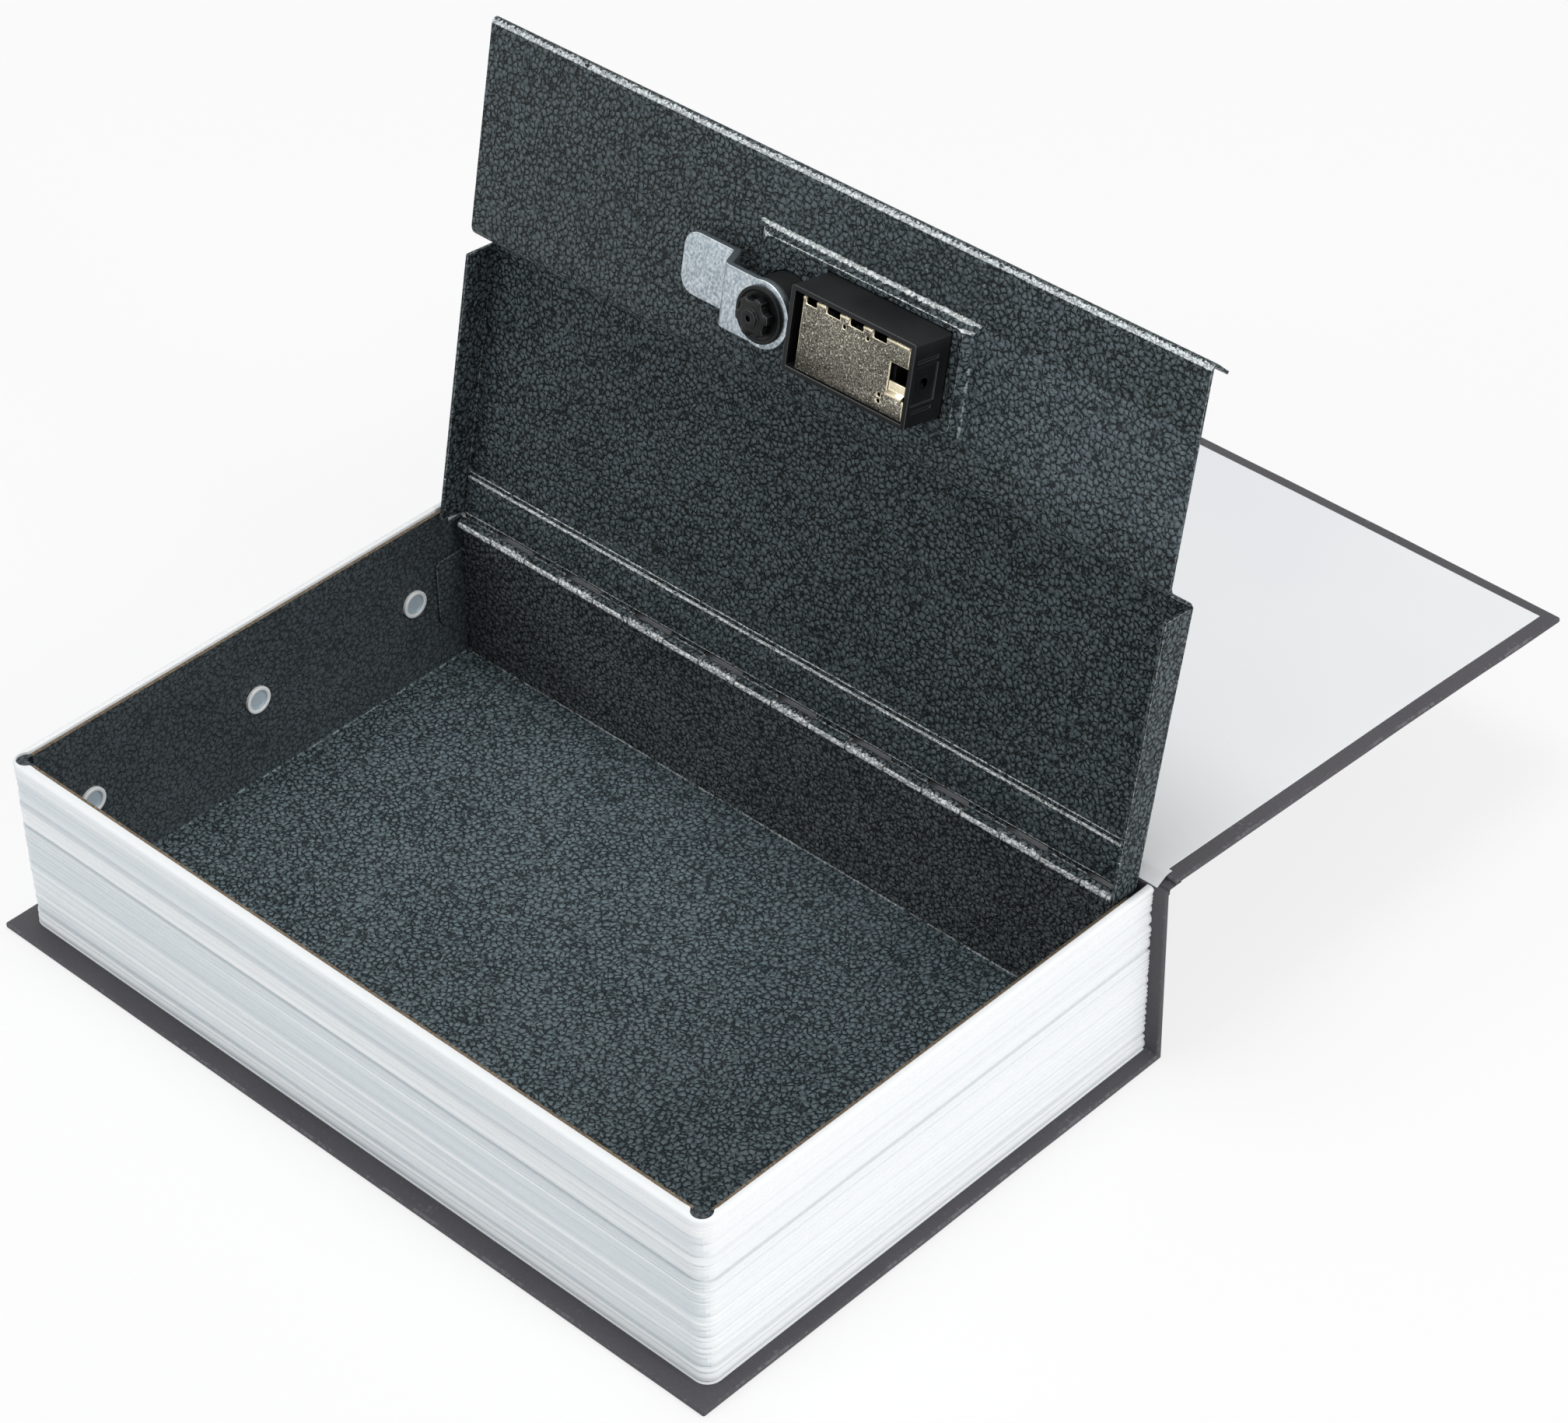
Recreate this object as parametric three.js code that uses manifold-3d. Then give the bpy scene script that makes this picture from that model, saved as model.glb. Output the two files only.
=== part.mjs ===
// Book diversion safe: a hollow book that holds a folded steel box with a hinged, lockable lid.
// Lengths are in millimetres and angles in degrees.
// X runs along the spine, +Y points towards the spine and +Z up from the table.
// The origin is the middle of the back cover's underside. The book lies open.

import * as THREE from 'three';
import { mergeVertices } from 'three/addons/utils/BufferGeometryUtils.js';
import Module from 'manifold-3d';

const wasm = await Module();
wasm.setup();

// Book case
const bookLength = 240;
const bookDepth = 155.7;
const paperThickness = 0.2;
const glueLine = 0.1;
const boardThickness = 1.2;
const turnInWidth = 15;
const headOverhang = 3.5;
const foreOverhang = 5.1;
const endpaperHeadMargin = 3;
const endpaperForeMargin = 2.3;
const coverJointWidth = 3;
const coverPaperStart = 1.1;
const coverRestGap = 0.3;

// Page block
const pageBlockHeight = 50.5;
const pageSideWall = 2;
const pageFrontWall = 2.8;
const pageRearWall = 1.4;
const pageRearWallTop = 46;
const pageCornerRadius = 4.5;
const pageLedgeWidth = 8;
const pageLedgeThickness = 1;
const pageRimBand = 2;
const pageRibDepth = 0.3;

// Steel box
const steelThickness = 0.8;
const boxFit = 0.3;
const boxRimDrop = 0.7;
const boxUpstandHeight = 10;
const boxUpstandInset = 6;
const hingeNotchDepth = 2.4;
const hingeNotchDrop = 0.2;
const latchLedgeReach = 6.4;
const latchLedgeWidth = 20;
const latchWindowHeight = 6;
const latchLedgeGap = 0.9;

// Rear wall's corner tabs
const tabWidth = 9.2;
const tabTop = 37;
const tabLowOuter = 18;
const tabLowInner = 9;
const tabFit = 0.1;
const wallSlitWidth = 2;

// Continuous hinge
const hingeSetback = 4;
const hingeDrop = 5.5;
const hingeEndGap = 2.25;
const knuckleCount = 18;
const knuckleGap = 0.3;
const knuckleRadius = 1.6;
const knuckleClearance = 0.4;
const pinRadius = 0.75;
const runningClearance = 0.1;
const leafWidth = 13.4;
const leafSlotReach = 3.2;

// Lid
const lidOpenAngle = 101.8;
const coverTurnRatio = 1.8;
const lidSideGap = 0.9;
const lidFreeSideStep = 0.85;
const lidFrontGap = 0.9;
const lidRearEdge = 5;
const lidJoggleDepth = 8.7;
const lidJoggleRun = 5.2;
const lidJoggleSetback = 9.6;
const lidFlangeStart = 4.9;
const lidFlangeEndGap = 1.6;
const lidFlangeChamfer = 1.5;
const lidLipRise = 5.9;
const lidLipLean = 3.8;
const lidLipBendRadius = 1.4;
const seatGap = 0.3;

// Lock pocket pressed into the lid, with its margins round the lock
const pocketSpindleMargin = 11.7;
const pocketEndMargin = 5;
const pocketNearMargin = 5;
const pocketFarMargin = 3.5;
const pocketDepth = 2;
const pocketBevel = 2;

// Lock body
const lockLeft = 4.5;
const lockLength = 38;
const lockWidth = 21.4;
const lockEdgeInset = 20.3;
const lockRise = 12.2;
const lockWall = 1.2;
const lockFlangeThickness = 1.2;
const lockFlangeMargin = 0.3;
const spindleBodyGap = 10.5;
const spindleOffset = 8.5;
const barrelRadius = 8.2;
const barrelRise = 7.1;
const plateInset = 0.3;
const plateThickness = 0.7;
const plateFit = 0.3;
const plateLeftRim = 2.2;
const plateNotchDepth = 1.7;
const plateNotchWidth = 4;
const plateNotchPitch = 7.15;
const plateNotchCount = 4;
const plateNotchStart = 4.1;
const plateEndTab = 1;
const leverSlotWidth = 5.2;
const leverSlotOffset = 6.5;
const leverLength = 3.4;
const leverTravel = 4;
const leverFit = 0.3;
const leverRiseHeight = 1.4;
const leverRiseFoot = 1.2;
const webHalfWidth = 5.5;
const webDrop = 1;

// Code wheels
const wheelCount = 3;
const wheelPitch = 10;
const firstWheelInset = 9.5;
const wheelWidth = 5.2;
const wheelRadius = 7.6;
const wheelGrooveDepth = 0.5;
const wheelDigits = 10;
const wheelOffset = 10.7;
const wheelProtrusion = 2;
const wheelClearance = 0.5;
const hubRadius = 2.7;
const hubCollarThickness = 0.8;
const hubCollarRadius = 3.3;
const hubNotchWidth = 2;
const hubNotchDepth = 1;
const axleRadius = 1.25;
const fenceThickness = 1.2;
const fenceHeight = 2.6;
const fenceToothWidth = 1;
const fenceToothOffset = 2.9;
const fenceToothReach = 2.7;
const fenceClearance = 0.3;
const fenceTravel = 1.5;
const fenceEndMargin = 0.8;
const fenceTail = 4;
const springThickness = 0.25;
const springHook = 0.9;
const springFoot = 3;

// Cam, spindle and knob
const camThickness = 1.8;
const camWidth = 16;
const camHubRadius = 8.4;
const camTipInset = 1.3;
const camCrankStart = 12.4;
const camCrankRun = 3.6;
const camTipSideRun = 4.75;
const camTipFarRun = 3.4;
const camTipNearRun = 5.1;
const camPocketGap = 0.4;
const spindleRadius = 3;
const spindleSquare = 4;
const spindleThreadRadius = 1.4;
const washerRadius = 7;
const washerThickness = 1;
const stackGap = 0.1;
const nutLobeRadius = 5;
const nutRootRadius = 4;
const nutLobes = 6;
const nutLobeHeight = 2.2;
const nutTubeRadius = 2.2;
const nutTubeBore = 0.8;
const nutTubeHeight = 1.1;
const knobRadius = 7.4;
const knobHeight = 7.7;
const knobGripWidth = 3.2;
const knobGripDepth = 3;
const knobSkirtHeight = 2;
const knobSocketDepth = 5;

// Wall rivets
const rivetHeadRadius = 3.8;
const rivetHeadHeight = 1.1;
const rivetDishRadius = 2.2;
const rivetDishDepth = 0.5;
const rivetShankRadius = 1.9;
const rivetHoleRadius = 2.1;
const rivetSeat = 0.7;
const rivetSeatDepth = 0.9;
const rivetHeight = 28.5;
const sideRivetMargin = 17.2;
const sideRivetCount = 3;
const frontRivetMargin = 33.15;
const frontRivetCount = 4;

// Every cutting tool runs past the faces that it cuts by this much
const overrun = 1;

// Facets of round pieces
const fineSides = 32;
const coarseSides = 16;
const knuckleSides = 12;

// Places worked out from the sizes above
const coverThickness = boardThickness + 2 * paperThickness;
const halfLength = bookLength / 2;
const foreEdgeY = -bookDepth / 2;
const spineOuterY = bookDepth / 2;
const spineInnerY = spineOuterY - coverThickness;
const pageTopZ = coverThickness + pageBlockHeight;
const pageHalfLength = halfLength - headOverhang;
const pageForeY = foreEdgeY + foreOverhang;
const pageInnerX = pageHalfLength - pageSideWall;
const pageInnerForeY = pageForeY + pageFrontWall;
const pageInnerRearY = spineInnerY - pageRearWall;
const ledgeTopZ = coverThickness + pageLedgeThickness;
const boxOuterX = pageInnerX - boxFit;
const boxInnerX = boxOuterX - steelThickness;
const boxOuterForeY = pageInnerForeY + boxFit;
const boxInnerForeY = boxOuterForeY + steelThickness;
const boxFloorZ = ledgeTopZ + steelThickness;
const boxRimZ = pageTopZ - boxRimDrop;
const lidHingeY = spineInnerY - hingeSetback;
const lidHingeZ = pageTopZ - hingeDrop;
const rearWallBackY = lidHingeY + knuckleRadius;
const rearWallFrontY = rearWallBackY - steelThickness;
const upstandFrontY = rearWallBackY + tabFit;
const upstandBackY = upstandFrontY + steelThickness;
const hingeHalfLength = boxInnerX - hingeEndGap;
const knucklePitch = (2 * hingeHalfLength) / knuckleCount;
const coverHingeY = spineOuterY - coverThickness / 2;
const coverHingeZ = pageTopZ + coverRestGap + coverThickness / 2;
const coverOpenAngle = lidOpenAngle * coverTurnRatio;
const lidHalfWidth = boxInnerX - lidSideGap;
const lidFreeHalfWidth = lidHalfWidth - lidFreeSideStep;
const lidFreeEdge = lidHingeY - boxInnerForeY - lidFrontGap;
const lockRight = lockLeft + lockLength;
const lockFar = lidFreeEdge - lockEdgeInset;
const lockNear = lockFar - lockWidth;
const spindleU = lockLeft - spindleBodyGap;
const spindleV = lockNear + spindleOffset;
const wheelV = lockNear + wheelOffset;
const firstWheelU = lockLeft + firstWheelInset;
const leverSlotNear = lockNear + leverSlotOffset;
const pocketLeft = spindleU - pocketSpindleMargin;
const pocketRight = lockRight + pocketEndMargin;
const pocketNear = lockNear - pocketNearMargin;
const pocketFar = lockFar + pocketFarMargin;
const camReach = lidFreeEdge - camTipInset - spindleV;
const leafBackW = -knuckleRadius;
const leafFrontW = leafBackW + steelThickness;
const lidHighInnerW = leafBackW - seatGap;
const lidHighOuterW = lidHighInnerW - steelThickness;
const lidLowInnerW = lidHighInnerW + lidJoggleDepth;
const lidLowOuterW = lidLowInnerW - steelThickness;
const lidJoggleEnd = pocketNear - lidJoggleSetback;
const lidJoggleStart = lidJoggleEnd - lidJoggleRun;
const pocketInnerW = lidLowInnerW + pocketDepth;
const pocketFloorW = pocketInnerW - steelThickness;
const lockFlangeTopW = pocketFloorW - seatGap;
const lockFaceW = lockFlangeTopW - lockFlangeThickness;
const lockBackW = pocketInnerW + lockRise;
const lockCavityW = pocketInnerW - plateInset;
const plateTopW = lockBackW - plateInset;
const plateBottomW = plateTopW - plateThickness;
const wheelW = lockFaceW - wheelProtrusion + wheelRadius;
const barrelTopW = pocketInnerW + barrelRise;
const camArmBottomW = barrelTopW + seatGap;
const camArmTopW = camArmBottomW + camThickness;
const camTongueBottomW = pocketInnerW + camPocketGap;
const washerBottomW = camArmTopW + stackGap;
const washerTopW = washerBottomW + washerThickness;
const nutBottomW = washerTopW + stackGap;
const nutLobeTopW = nutBottomW + nutLobeHeight;
const nutTopW = nutLobeTopW + nutTubeHeight;
const knobTopW = lockFaceW - seatGap;
const knobFaceW = knobTopW - knobHeight;
const latchLedgeZ = lidHingeZ - lidLowInnerW - latchLedgeGap;
const latchLedgeLeft = spindleU - latchLedgeWidth / 2;
const latchLedgeRight = spindleU + latchLedgeWidth / 2;

/** Turns a closed three.js geometry into a solid for cutting and joining. */
function toSolid(geometry) {
  const bare = geometry.index ? geometry.toNonIndexed() : geometry.clone();
  for (const name of Object.keys(bare.attributes)) {
    if (name !== 'position') bare.deleteAttribute(name);
  }
  const merged = mergeVertices(bare);
  const vertProperties = Float32Array.from(merged.attributes.position.array);
  const triVerts = Uint32Array.from(merged.index.array);
  return new wasm.Manifold(new wasm.Mesh({ numProp: 3, vertProperties, triVerts }));
}

/** Turns a solid back into a three.js geometry. */
function toGeometry(solid) {
  const mesh = solid.getMesh();
  const geometry = new THREE.BufferGeometry();
  geometry.setAttribute('position', new THREE.BufferAttribute(mesh.vertProperties, mesh.numProp));
  geometry.setIndex(new THREE.BufferAttribute(mesh.triVerts, 1));
  geometry.computeVertexNormals();
  return geometry;
}

/** Joins several geometries into one solid. */
function join(...geometries) {
  return geometries.map(toSolid).reduce((all, next) => all.add(next));
}

/** Takes several geometries away from a solid. */
function cut(solid, ...geometries) {
  return geometries.map(toSolid).reduce((left, next) => left.subtract(next), solid);
}

/** Box between two corners. */
function block(x0, x1, y0, y1, z0, z1) {
  const geometry = new THREE.BoxGeometry(x1 - x0, y1 - y0, z1 - z0);
  return geometry.translate((x0 + x1) / 2, (y0 + y1) / 2, (z0 + z1) / 2);
}

/** Outline through a list of [x, y] points. */
function outline(points) {
  return new THREE.Shape(points.map(([x, y]) => new THREE.Vector2(x, y)));
}

/** Shape in X and Y, extruded from z0 to z1. */
function prismZ(shape, z0, z1) {
  const settings = { depth: z1 - z0, bevelEnabled: false, curveSegments: coarseSides };
  return new THREE.ExtrudeGeometry(shape, settings).translate(0, 0, z0);
}

/** Shape in Y and Z, extruded from x0 to x1. */
function prismX(shape, x0, x1) {
  const toX = new THREE.Matrix4().makeBasis(
    new THREE.Vector3(0, 1, 0),
    new THREE.Vector3(0, 0, 1),
    new THREE.Vector3(1, 0, 0),
  );
  return prismZ(shape, x0, x1).applyMatrix4(toX);
}

/** Shape in X and Z, extruded from y0 to y1. */
function prismY(shape, y0, y1) {
  return prismZ(shape, -y1, -y0).rotateX(Math.PI / 2);
}

/** Cylinder along Z. */
function rodZ(radius, x, y, z0, z1, sides = coarseSides) {
  const geometry = new THREE.CylinderGeometry(radius, radius, z1 - z0, sides);
  return geometry.rotateX(Math.PI / 2).translate(x, y, (z0 + z1) / 2);
}

/** Cylinder along X. */
function rodX(radius, x0, x1, y, z, sides = coarseSides) {
  const geometry = new THREE.CylinderGeometry(radius, radius, x1 - x0, sides);
  return geometry.rotateZ(-Math.PI / 2).translate((x0 + x1) / 2, y, z);
}

/** Outline of a sheet of even thickness whose middle runs along the given points. */
function sheetOutline(points, thickness) {
  const middle = points.map(([x, y]) => new THREE.Vector2(x, y));
  const normals = middle.slice(1).map((point, i) => {
    const along = point.clone().sub(middle[i]).normalize();
    return new THREE.Vector2(-along.y, along.x);
  });
  const offset = (side) => middle.map((point, i) => {
    const before = normals[Math.max(i - 1, 0)];
    const after = normals[Math.min(i, normals.length - 1)];
    const mitre = before.clone().add(after).normalize();
    return point.clone().addScaledVector(mitre, (side * thickness) / 2 / mitre.dot(after));
  });
  return new THREE.Shape([...offset(1), ...offset(-1).reverse()]);
}

/** Solid skinned over a stack of rings, each a list of [x, y, z] points of the same length. */
function skinRings(rings) {
  const count = rings[0].length;
  const index = [];
  for (let level = 0; level < rings.length - 1; level += 1) {
    for (let i = 0; i < count; i += 1) {
      const a = level * count + i;
      const b = level * count + ((i + 1) % count);
      index.push(a, b, b + count, a, b + count, a + count);
    }
  }
  const top = (rings.length - 1) * count;
  for (let i = 1; i < count - 1; i += 1) {
    index.push(0, i + 1, i);
    index.push(top, top + i, top + i + 1);
  }
  const geometry = new THREE.BufferGeometry();
  geometry.setAttribute('position', new THREE.Float32BufferAttribute(rings.flat(2), 3));
  geometry.setIndex(index);
  return geometry;
}

/** Named mesh with its own material. */
function piece(name, shape, colour, roughness, metalness = 0) {
  const geometry = shape instanceof THREE.BufferGeometry ? shape : toGeometry(shape);
  const material = new THREE.MeshStandardMaterial({ color: colour, roughness, metalness });
  const mesh = new THREE.Mesh(geometry, material);
  mesh.name = name;
  return mesh;
}

const inBoard = (name, shape) => piece(name, shape, '#9a8f7d', 0.9);
const inCoverPaper = (name, shape) => piece(name, shape, '#474548', 0.75);
const inEndpaper = (name, shape) => piece(name, shape, '#dfe3e7', 0.8);
const inPagePlastic = (name, shape) => piece(name, shape, '#e9edf0', 0.55);
const inPaintedSteel = (name, shape) => piece(name, shape, '#384043', 0.45, 0.2);
const inRivetPlastic = (name, shape) => piece(name, shape, '#f2f3f2', 0.5);
const inBlackPlastic = (name, shape) => piece(name, shape, '#17181a', 0.5);
const inNickel = (name, shape) => piece(name, shape, '#b7ae99', 0.35, 1);
const inZinc = (name, shape) => piece(name, shape, '#c3cdd3', 0.3, 1);
const inSteel = (name, shape) => piece(name, shape, '#8d9295', 0.35, 1);
const inBrass = (name, shape) => piece(name, shape, '#b79a55', 0.35, 1);

/** Paper folded over a board that lies flat in X and Y, open inside the turn-ins on its top. */
function wrappedPaper(y0, y1, z0, z1, openY1) {
  const shell = toSolid(block(-halfLength, halfLength, y0, y1, z0, z1));
  const inner = block(
    -halfLength + paperThickness, halfLength - paperThickness,
    y0 + paperThickness, y1 - paperThickness, z0 + paperThickness, z1 - paperThickness,
  );
  const openTop = block(
    -halfLength + turnInWidth, halfLength - turnInWidth,
    y0 + turnInWidth, openY1, z1 - paperThickness - overrun, z1 + overrun,
  );
  return cut(cut(shell, inner), openTop);
}

/** Back cover and spine: two boards in one folded sheet of paper. */
function makeBackCase() {
  const edge = halfLength - paperThickness;
  const backBoard = block(
    -edge, edge, foreEdgeY + paperThickness, spineInnerY - paperThickness,
    paperThickness, coverThickness - paperThickness,
  );
  const spineBoard = block(
    -edge, edge, spineInnerY + paperThickness, spineOuterY - paperThickness,
    coverThickness, pageTopZ - paperThickness,
  );
  const backPaper = wrappedPaper(foreEdgeY, spineInnerY, 0, coverThickness, spineInnerY - turnInWidth);
  const spineShell = block(-halfLength, halfLength, spineInnerY, spineOuterY, 0, pageTopZ);
  const fold = block(
    -halfLength, halfLength, spineInnerY - paperThickness / 2, spineInnerY + paperThickness / 2,
    0, coverThickness,
  );
  const spineOpening = block(
    -halfLength + turnInWidth, halfLength - turnInWidth,
    spineInnerY - overrun, spineInnerY + paperThickness + overrun / 2,
    coverThickness + turnInWidth, pageTopZ - turnInWidth,
  );
  const spinePaper = cut(join(spineShell, fold), spineBoard, spineOpening);
  return [
    inBoard('back_board', backBoard),
    inBoard('spine_board', spineBoard),
    inCoverPaper('case_paper', backPaper.add(spinePaper)),
  ];
}

/** Front cover, built flat with its hinge edge at Y zero and its inner side up. */
function makeFrontCover() {
  const reach = coverHingeY - foreEdgeY;
  const half = coverThickness / 2;
  const skin = paperThickness + glueLine;
  const turnInTop = half - skin;
  const wrap = wrappedPaper(coverJointWidth, reach, -half, turnInTop, reach - turnInWidth);
  const joint = block(
    -halfLength, halfLength, coverPaperStart, coverJointWidth + turnInWidth,
    -half, paperThickness - half,
  );
  const paper = wrap.add(toSolid(joint));
  const board = block(
    -halfLength + skin, halfLength - skin, coverJointWidth + skin, reach - skin,
    -half + skin, turnInTop - skin,
  );
  const endpaper = block(
    -halfLength + endpaperHeadMargin, halfLength - endpaperHeadMargin,
    coverJointWidth, reach - endpaperForeMargin, turnInTop + glueLine, half,
  );
  const cover = new THREE.Group();
  cover.position.set(0, coverHingeY, coverHingeZ);
  cover.rotation.x = THREE.MathUtils.degToRad(180 - coverOpenAngle);
  cover.add(inBoard('front_board', board));
  cover.add(inCoverPaper('front_paper', paper));
  cover.add(inEndpaper('front_endpaper', endpaper));
  return cover;
}

/** Ring round the page block at one height, pulled in by an inset. */
function pageRing(inset, z) {
  const x = pageHalfLength - inset;
  const y = pageForeY + inset;
  const arc = (centreX, startAngle) => {
    const points = [];
    const steps = coarseSides / 4;
    for (let i = 0; i <= steps; i += 1) {
      const angle = startAngle + (Math.PI / 2) * (i / steps);
      const out = [Math.cos(angle), Math.sin(angle)].map((part) => part * pageCornerRadius);
      points.push([centreX + out[0], y + pageCornerRadius + out[1], z]);
    }
    return points;
  };
  return [
    ...arc(-x + pageCornerRadius, Math.PI),
    ...arc(x - pageCornerRadius, Math.PI * 1.5),
    [x, spineInnerY, z],
    [-x, spineInnerY, z],
  ];
}

/** Block of false pages: ribbed outside, open in the middle, with a ledge that carries the box. */
function makePageFrame() {
  const ribLevels = 18;
  const waveShares = [0.5, 0.9, 0.2, 0.7, 0.35, 1, 0.6];
  const ribbedTop = pageTopZ - pageRimBand;
  const rings = [];
  for (let level = 0; level < ribLevels; level += 1) {
    const z = coverThickness + ((ribbedTop - coverThickness) * level) / (ribLevels - 1);
    rings.push(pageRing(pageRibDepth * waveShares[level % waveShares.length], z));
  }
  rings.push(pageRing(0, ribbedTop + pageRibDepth));
  rings.push(pageRing(0, pageTopZ));
  const shell = toSolid(skinRings(rings));
  const hollow = block(
    -pageInnerX, pageInnerX, pageInnerForeY, pageInnerRearY, ledgeTopZ, pageTopZ + overrun,
  );
  const ledgeHole = block(
    -pageInnerX + pageLedgeWidth, pageInnerX - pageLedgeWidth,
    pageInnerForeY + pageLedgeWidth, pageInnerRearY - pageLedgeWidth,
    coverThickness - overrun, ledgeTopZ + overrun,
  );
  const rearOpening = block(
    -pageInnerX, pageInnerX, pageInnerRearY - overrun, spineInnerY + overrun,
    pageRearWallTop, pageTopZ + overrun,
  );
  const seatDepth = steelThickness + boxFit + rivetSeatDepth;
  const rivetSeats = rivetPlaces().map((place) => rivetBore(place, seatDepth));
  return inPagePlastic('page_frame', cut(shell, hollow, ledgeHole, rearOpening, ...rivetSeats));
}

/** Where each wall rivet sits: a point on the box wall's inner face and the way out of the box. */
function rivetPlaces() {
  const places = [];
  const sidePitch = (rearWallFrontY - boxInnerForeY - 2 * sideRivetMargin) / (sideRivetCount - 1);
  const frontPitch = (2 * (boxInnerX - frontRivetMargin)) / (frontRivetCount - 1);
  for (const [side, sign] of [['left', -1], ['right', 1]]) {
    for (let i = 0; i < sideRivetCount; i += 1) {
      const y = boxInnerForeY + sideRivetMargin + i * sidePitch;
      places.push({
        name: `wall_rivet_${side}_${i + 1}`,
        at: new THREE.Vector3(sign * boxInnerX, y, rivetHeight),
        out: new THREE.Vector3(sign, 0, 0),
      });
    }
  }
  for (let i = 0; i < frontRivetCount; i += 1) {
    const x = frontRivetMargin - boxInnerX + i * frontPitch;
    places.push({
      name: `wall_rivet_front_${i + 1}`,
      at: new THREE.Vector3(x, boxInnerForeY, rivetHeight),
      out: new THREE.Vector3(0, -1, 0),
    });
  }
  return places;
}

/** Turns a geometry whose axis is +Y so that it points out of the box at a rivet's place. */
function placeOnWall(geometry, place) {
  const turn = new THREE.Quaternion().setFromUnitVectors(new THREE.Vector3(0, 1, 0), place.out);
  return geometry.applyQuaternion(turn).translate(place.at.x, place.at.y, place.at.z);
}

/** Bore for a rivet's shank, from inside the box outwards. */
function rivetBore(place, depth) {
  const length = depth + overrun;
  const bore = new THREE.CylinderGeometry(rivetHoleRadius, rivetHoleRadius, length, coarseSides);
  return placeOnWall(bore.translate(0, length / 2 - overrun, 0), place);
}

/** Push rivet: a dished head inside the box and a shank that snaps into the page block. */
function makeRivets() {
  const shankLength = steelThickness + boxFit + rivetSeat;
  const profile = [
    [0, shankLength],
    [rivetShankRadius, shankLength],
    [rivetShankRadius, 0],
    [rivetHeadRadius, 0],
    [rivetHeadRadius, -rivetHeadHeight / 2],
    [rivetDishRadius + rivetDishDepth, -rivetHeadHeight],
    [rivetDishRadius, -rivetHeadHeight],
    [0, rivetDishDepth - rivetHeadHeight],
  ];
  const points = profile.reverse().map(([r, y]) => new THREE.Vector2(r, y));
  return rivetPlaces().map((place) => {
    const body = placeOnWall(new THREE.LatheGeometry(points, coarseSides), place);
    return inRivetPlastic(place.name, toSolid(body));
  });
}

/** Floor of the folded steel box, and the short upstand along its rear edge. */
function makeTrayFloor() {
  const floor = block(-boxOuterX, boxOuterX, boxOuterForeY, upstandBackY, ledgeTopZ, boxFloorZ);
  const upstandHalf = boxInnerX - boxUpstandInset;
  const upstandTop = boxFloorZ + boxUpstandHeight;
  const upstand = block(
    -upstandHalf, upstandHalf, upstandFrontY, upstandBackY, boxFloorZ, upstandTop,
  );
  return [inPaintedSteel('steel_tray', floor), inPaintedSteel('tray_upstand', upstand)];
}

/** Front wall of the box, with the window that the latch ledge is folded out of. */
function makeTrayFront() {
  const wall = block(-boxOuterX, boxOuterX, boxOuterForeY, boxInnerForeY, boxFloorZ, boxRimZ);
  const window = block(
    latchLedgeLeft, latchLedgeRight, boxOuterForeY - overrun, boxInnerForeY + overrun,
    latchLedgeZ - steelThickness - latchWindowHeight, latchLedgeZ - steelThickness,
  );
  const places = rivetPlaces().filter((place) => place.out.y < 0);
  const bores = places.map((place) => rivetBore(place, steelThickness + overrun / 2));
  return inPaintedSteel('tray_wall_front', cut(toSolid(wall), window, ...bores));
}

/** Side walls of the box, notched at the rear for the hinge. */
function makeTraySides() {
  const hingeNotch = block(
    -boxOuterX - overrun, boxOuterX + overrun,
    lidHingeY - hingeNotchDepth, upstandBackY + overrun,
    lidHingeZ - hingeNotchDrop, boxRimZ + overrun,
  );
  return [['tray_wall_left', -boxOuterX], ['tray_wall_right', boxInnerX]].map(([name, x]) => {
    const wall = block(x, x + steelThickness, boxInnerForeY, upstandBackY, boxFloorZ, boxRimZ);
    const places = rivetPlaces().filter((place) => place.out.x * x > 0);
    const bores = places.map((place) => rivetBore(place, steelThickness + overrun / 2));
    return inPaintedSteel(name, cut(toSolid(wall), hingeNotch, ...bores));
  });
}

/** Tongue folded inwards from the front wall, behind which the cam catches. */
function makeLatchLedge() {
  const tongue = block(
    latchLedgeLeft, latchLedgeRight, boxInnerForeY, boxInnerForeY + latchLedgeReach,
    latchLedgeZ - steelThickness, latchLedgeZ,
  );
  return inPaintedSteel('latch_ledge', tongue);
}

/** Start and end of one hinge knuckle along X. */
function knuckleSpan(number) {
  const start = -hingeHalfLength + number * knucklePitch;
  return [start + knuckleGap / 2, start + knucklePitch - knuckleGap / 2];
}

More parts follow.
